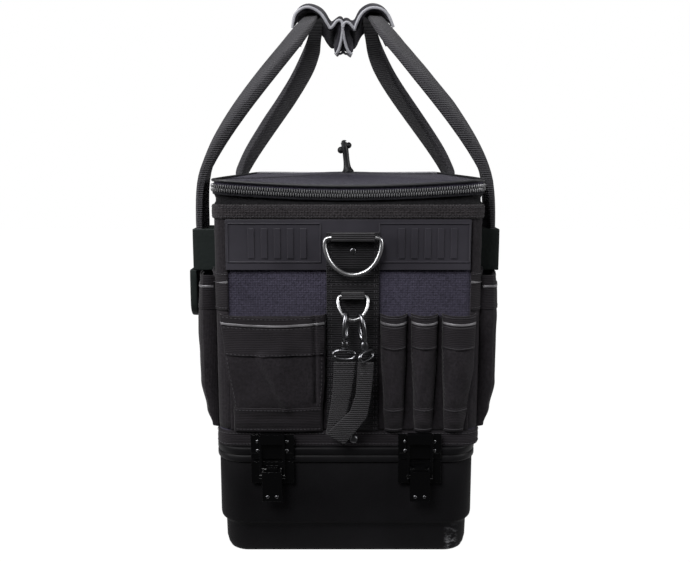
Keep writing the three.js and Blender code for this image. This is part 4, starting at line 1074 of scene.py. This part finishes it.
class TOOLBAG_OT_side_pockets(bpy.types.Operator):
    """Make the long side pockets, the bands that carry them round the corners and the tool flap"""

    bl_idname = "toolbag.side_pockets"
    bl_label = "Side pockets"

    def execute(self, context):
        settings = context.scene.tool_bag
        for side, hand in ((-1, "left"), (1, "right")):
            node = "side_pocket_" + hand
            low, high = box_mm(node)
            face = high.x if side < 0 else low.x
            deep = high.x - low.x - 1.5

            def place(u, z, off=0.0):
                share = (z - low.z) / (high.z - low.z)
                arch = max(1 - abs(2 * u - 1) ** 9, 0) ** (1 / 4)
                loose = smoothstep(0, 0.06, u) * smoothstep(1, 0.94, u) * smoothstep(0, 0.15, share)
                y = low.y + u * (high.y - low.y)
                rumple = ripple((side * 40, y, z), 46, 9.0) * 1.6 + ripple((side * 40, y, z), 15, 3.0) * 0.4
                pleat = -2.2 * sum(math.exp(-(((u - cut) * 410 / 3.0) ** 2)) for cut in (0.25, 0.5, 0.75))
                reach = deep * along(SIDE_SWELL, share) * arch + (rumple * settings.wrinkle + pleat) * loose
                return face + side * (max(reach, 0.4) + off), y, z

            def sheet(bottom, top, off, rows):
                def at(u, v):
                    return place(u if side > 0 else 1 - u, bottom + (top - bottom) * v, off)

                return grid(150, rows, at)

            cloth = sheet(low.z, high.z - 1, 0, 90)
            piece(node + "_cloth", cloth, finish("pocket cloth"), "cloth", (node,), wall=2.0)
            band = sheet(high.z - 34, high.z, 0.9, 30)
            piece(node + "_band", band, finish("hem webbing"), "binding", wall=1.0)
            light = sheet(high.z - 12.2, high.z - 10, 1.7, 3)
            piece(node + "_light", light, finish("reflective"), "piping", ("side_piping_" + hand,), wall=0.8)
            heights = (high.z - 32, high.z - 2, high.z - 15)
            lines = [[place(k / 60, z, 1.0) for k in range(1, 60)] for z in heights]
            piece(node + "_stitches", stitches(lines), finish("thread"), "binding")
            self.corners(side, hand, high.z)
        dress("tool_loop", "tab rubber", "rubber", bevel=1.5, rounds=1)
        return {"FINISHED"}

    @staticmethod
    def corners(side, hand, top):
        """The band from each end seam round the corner to the pocket, with its piping and a lower strip."""
        for end, which in ((-1, "front"), (1, "rear")):

            def patch(bottom, height, first, off):
                def at(u, v):
                    run = CORNER_RUN * (u if side * end < 0 else 1 - u)
                    bow = first + off + 5.0 * smoothstep(18, CORNER_RUN, run)
                    z = bottom + v * height - 2.5 * math.sin(math.pi * run / CORNER_RUN) * v
                    return corner_point(side, end, run, z, bow)

                return grid(26, 16, at)

            name = f"corner_{hand}_{which}"
            piece(name + "_band", patch(top - 33, 38, 1.4, 0), finish("hem webbing"), "binding", wall=1.4)
            piece(name + "_light", patch(top - 6, 2.4, 1.4, 0.8), finish("reflective"), "piping", wall=0.8)
            piece(name + "_cloth", patch(131, top - 162, 0.7, 0), finish("pocket cloth"), "cloth", wall=1.0)

            def upper(u, v):
                run = CORNER_RUN * (u if side * end < 0 else 1 - u)
                z = top - 2 + v * (BINDING_LOW.z - top + 4)
                return corner_point(side, end, run, z, 0.9 + ripple((run, side * 9, z), 16, 6.0) * 0.4)

            piece(name + "_upper", grid(26, 24, upper), finish("pocket cloth"), "cloth", wall=0.8)
            lines = []
            for z in (top - 30, top + 2.5):
                line = []
                for k in range(13):
                    run = CORNER_RUN * k / 12
                    line.append(corner_point(side, end, run, z, 1.9 + 5.0 * smoothstep(18, CORNER_RUN, run)))
                lines.append(line)
            piece(name + "_stitches", stitches(lines), finish("thread"), "binding")


class TOOLBAG_OT_handles(bpy.types.Operator):
    """Make the two carry handles and the rubber tabs over their ends"""

    bl_idname = "toolbag.handles"
    bl_label = "Handles"

    def execute(self, context):
        for hand in ("left", "right"):
            node = "handle_" + hand
            dress(node, "handle webbing", "webbing", bevel=1.3, rounds=2, segments=1)
            for end in ("front", "rear"):
                dress(f"handle_tab_{hand}_{end}", "tab rubber", "rubber", bevel=1.2, rounds=1)
        return {"FINISHED"}


# Each grip's rim in x and z, from its outer flap over the strap to its inner flap
GRIP_RIMS = {
    "left": [
        *((-54, 534), (-52, 546), (-46, 552), (-39, 553.5), (-31.5, 551), (-25, 546), (-20, 538)),
        *((-15.5, 531.5), (-11, 534), (-6.5, 539.5), (-3.6, 538), (-4, 526), (-7.5, 512), (-11, 507.5)),
    ],
    "right": [
        *((52, 534), (47, 546), (40, 552), (31, 553.5), (24.5, 551), (19.5, 546), (15.5, 538)),
        *((12.2, 530.5), (8.8, 533), (4.6, 537.5), (1.2, 536.5), (1.6, 526), (5.5, 512), (10, 507.5)),
    ],
}
GRIP_CREST = 13.5
GRIP_DRAPE = 16.0
GRIP_WALL = 3.6


def curve_point(points, share):
    """The point at a share of a smooth curve that passes through every point of a list."""
    spot = share * (len(points) - 1)
    k = min(int(spot), len(points) - 2)
    t = spot - k
    near = [points[max(k - 1, 0)], points[k], points[k + 1], points[min(k + 2, len(points) - 1)]]
    found = []
    for a, b, c, d in zip(*near):
        bend = (2 * a - 5 * b + 4 * c - d) * t * t
        twist = (3 * b - a - 3 * c + d) * t**3
        found.append(0.5 * (2 * b + (c - a) * t + bend + twist))
    return found


class TOOLBAG_OT_grips(bpy.types.Operator):
    """Make the padded wraps at the top of the handles, with light piping along their ends"""

    bl_idname = "toolbag.grips"
    bl_label = "Grips"

    def execute(self, context):
        for hand in ("left", "right"):
            node = "grip_" + hand
            low, high = box_mm(node)
            rim = GRIP_RIMS[hand]
            turn = 1 if hand == "right" else -1

            def place(u, v):
                point = curve_point(rim, u)
                y = low.y + v * (high.y - low.y)
                crest = GRIP_CREST * (1 - (2 * v - 1) ** 2)
                pad = 1.2 * math.sin(math.pi * v) ** 0.5 + ripple((point[0], y, point[1]), 16, 11.0) * 0.6
                drape = v * GRIP_DRAPE * smoothstep(531, 508, point[1])
                return point[0], y, point[1] + crest + pad + drape

            wrap = grid(56, 60, (lambda u, v: place(u, 1 - v)) if turn < 0 else place)
            made = piece(node + "_pad", wrap, finish("grip cloth"), "grip", (node,), rounds=1)
            shell = made.modifiers.new("Wall", "SOLIDIFY")
            shell.thickness = GRIP_WALL * MM
            shell.offset = 0
            made.modifiers.move(1, 0)
            plump(made, voxel=2.0, pressure=4, cap=1.6)
            for v, which in ((0, "front"), (1, "rear")):
                edge = []
                for k in range(61):
                    run = Vector(place(min(k + 1, 60) / 60, v)) - Vector(place(max(k - 1, 0) / 60, v))
                    proud = Vector((turn * run.z, 0, -turn * run.x)).normalized() * 1.9
                    edge.append(Vector(place(k / 60, v)) + proud + Vector((0, (2 * v - 1) * 1.3, 0)))
                cord = tube(through(edge), 1.6, 60)
                piece(f"{node}_cord_{which}", cord, finish("light piping"), "piping")
        return {"FINISHED"}


CLIP_LEGS = {
    "left": [
        (-9.5, 203, 11.3, 203, -229.5),
        (-9.8, 190, 10.4, 189, -229.0),
        (-11.0, 172, 6.2, 168, -228.5),
        (-14.0, 152, 1.8, 144, -228.0),
        (-17.2, 132, 0.2, 121, -225.5),
    ],
    "right": [
        (13.2, 203, 28.2, 203, -231.5),
        (12.6, 190, 27.6, 190, -231.0),
        (11.4, 172, 25.6, 168, -230.5),
        (6.0, 155, 22.2, 149.6, -230.2),
        (-6.0, 143, 11.0, 134, -229.5),
        (-17.0, 131, 0.6, 120.6, -226.8),
    ],
}


class TOOLBAG_OT_clip(bpy.types.Operator):
    """Make the narrow strap that hangs from the hooks and the press stud below it"""

    bl_idname = "toolbag.clip"
    bl_label = "Clip strap"

    def execute(self, context):
        for leg, rows in CLIP_LEGS.items():
            self.ribbon(leg, rows)
        dress("snap_button", "black nickel", "nickel", bevel=0.3)
        return {"FINISHED"}

    @staticmethod
    def ribbon(leg, rows):
        """One leg of the strap: rows of left x, left z, right x, right z and y, eased into each other."""

        def place(u, v):
            spot = (1 - v) * (len(rows) - 1)
            k = min(int(spot), len(rows) - 2)
            t = smoothstep(0, 1, spot - k) * 0.35 + (spot - k) * 0.65
            left_x, left_z, right_x, right_z, y = [a + (b - a) * t for a, b in zip(rows[k], rows[k + 1])]
            bow = 0.5 * math.sin(math.pi * u)
            return left_x + (right_x - left_x) * u, y - bow, left_z + (right_z - left_z) * u

        strap = grid(16, 60, place)
        nodes = ("clip_strap",) if leg == "left" else ()
        piece(f"clip_leg_{leg}", strap, finish("narrow webbing"), "webbing", nodes, wall=1.5)
        for level, rise in (("top", 1.0), ("fold", 0.86)):
            line = [Vector(place(u, rise - 0.02)) - Vector((0, 0.2, 0)) for u in (0.08, 0.5, 0.92)]
            piece(f"clip_{level}_{leg}", stitches([line]), finish("thread"), "webbing")


class TOOLBAG_OT_latches(bpy.types.Operator):
    """Make the draw latches, each lever and link on its own moving body"""

    bl_idname = "toolbag.latches"
    bl_label = "Latches"

    def execute(self, context):
        for hand in ("left", "right"):
            bodies = {"plate": "bag", "keeper": "bag", "lever": "lever_" + hand, "link": "link_" + hand}
            for part, body in bodies.items():
                dress(f"latch_{part}_{hand}", "latch lacquer", "latch", body, bevel=0.35)
            dress("rear_latch_" + hand, "latch lacquer", "latch", bevel=0.5)
            self.rivets(hand)
        return {"FINISHED"}

    @staticmethod
    def rivets(hand):
        """Low round heads on the plate and the keeper, and two dots on the lever."""
        for part, body, columns, heights in (
            ("plate", "bag", (0.16, 0.84), (0.22, 0.58)),
            ("keeper", "bag", (0.16, 0.84), (0.35, 0.72)),
            ("lever", "lever_" + hand, (0.32, 0.68), (0.14,)),
        ):
            low, high = box_mm(f"latch_{part}_{hand}")
            y = low.y if part == "keeper" else high.y - 2.4 if part == "plate" else low.y + 0.3
            heads = bmesh.new()
            for across in columns:
                for up in heights:
                    spot = Vector((low.x + across * (high.x - low.x), y, low.z + up * (high.z - low.z)))
                    size = Matrix.Diagonal((1.7 * MM, 0.8 * MM, 1.7 * MM, 1))
                    where = Matrix.Translation(spot * MM) @ size
                    bmesh.ops.create_uvsphere(heads, u_segments=16, v_segments=8, radius=1, matrix=where)
            piece(f"latch_{part}_{hand}_rivets", heads, finish("black nickel"), "latch", body=body)


class TOOLBAG_OT_studio(bpy.types.Operator):
    """Set up the white floor, the soft lamps and the camera"""

    bl_idname = "toolbag.studio"
    bl_label = "Studio"

    def execute(self, context):
        scene = context.scene
        power = scene.tool_bag.key_power
        self.floor()
        world = bpy.data.worlds.new("studio")
        world.use_nodes = True
        tree = world.node_tree
        background = tree.nodes["Background"]
        background.inputs["Color"].default_value = (1, 1, 1, 1)
        seen = tree.nodes.new("ShaderNodeLightPath")
        level = tree.nodes.new("ShaderNodeMapRange")
        level.inputs["To Min"].default_value = WORLD_LIGHT
        level.inputs["To Max"].default_value = 1.0
        tree.links.new(seen.outputs["Is Camera Ray"], level.inputs["Value"])
        tree.links.new(level.outputs["Result"], background.inputs["Strength"])
        scene.world = world
        for name, place, aim, size, share in LAMPS:
            self.lamp(name, place, aim, size, power * share)
        lens = bpy.data.cameras.new("camera")
        lens.lens = CAMERA_LENS
        lens.clip_start = 0.05
        lens.clip_end = 30
        camera = bpy.data.objects.new("camera", lens)
        camera.location = CAMERA_PLACE
        camera.rotation_euler = (math.radians(CAMERA_TILT), 0, 0)
        scene.collection.objects.link(camera)
        scene.camera = camera
        scene.view_settings.view_transform = "Standard"
        return {"FINISHED"}

    @staticmethod
    def floor():
        """The white sheet under and behind the bag."""
        mesh = bmesh.new()
        slab(mesh, (-2500, FRONT - 30, -4), (2500, 3500, -1))
        data = bpy.data.meshes.new("floor")
        mesh.to_mesh(data)
        mesh.free()
        paper = Finish("studio paper")
        glow = {"Base_Color": (0.0, 0.0, 0.0), "Emission_Color": (1.0, 1.0, 1.0), "Emission_Strength": 1.0}
        data.materials.append(paper.set(Roughness=1.0, **glow))
        sheet = bpy.data.objects.new("floor", data)
        bpy.context.scene.collection.objects.link(sheet)

    @staticmethod
    def lamp(name, place, aim, size, power):
        """A square soft lamp that looks at a point."""
        light = bpy.data.lights.new(name, "AREA")
        light.energy = power
        light.size = size
        made = bpy.data.objects.new(name, light)
        made.location = place
        made.rotation_euler = (Vector(aim) - Vector(place)).to_track_quat("-Z", "Y").to_euler()
        bpy.context.scene.collection.objects.link(made)


class TOOLBAG_PT_panel(bpy.types.Panel):
    """The sidebar panel with the settings and a button for each step"""

    bl_label = "Tool bag"
    bl_idname = "TOOLBAG_PT_panel"
    bl_space_type = "VIEW_3D"
    bl_region_type = "UI"
    bl_category = "Tool bag"

    def draw(self, context):
        settings = context.scene.tool_bag
        for name in ("wrinkle", "bulge", "stitch_inset", "key_power"):
            self.layout.prop(settings, name)
        for step in STEPS:
            self.layout.operator(step.bl_idname)


STEPS = [
    TOOLBAG_OT_base,
    TOOLBAG_OT_body,
    TOOLBAG_OT_lid,
    TOOLBAG_OT_panels,
    TOOLBAG_OT_webbing,
    TOOLBAG_OT_rings,
    TOOLBAG_OT_pockets,
    TOOLBAG_OT_side_pockets,
    TOOLBAG_OT_handles,
    TOOLBAG_OT_grips,
    TOOLBAG_OT_clip,
    TOOLBAG_OT_latches,
    TOOLBAG_OT_studio,
]
CLASSES = [ToolBagSettings, *STEPS, TOOLBAG_PT_panel]


def register():
    for item in CLASSES:
        bpy.utils.register_class(item)
    bpy.types.Scene.tool_bag = PointerProperty(type=ToolBagSettings)


def unregister():
    del bpy.types.Scene.tool_bag
    for item in reversed(CLASSES):
        bpy.utils.unregister_class(item)


def main():
    """Runs every step in order."""
    register()
    for step in STEPS:
        group, name = step.bl_idname.split(".")
        if getattr(getattr(bpy.ops, group), name)() != {"FINISHED"}:
            raise RuntimeError(f"{step.bl_label} did not finish")


if __name__ == "__main__":
    main()
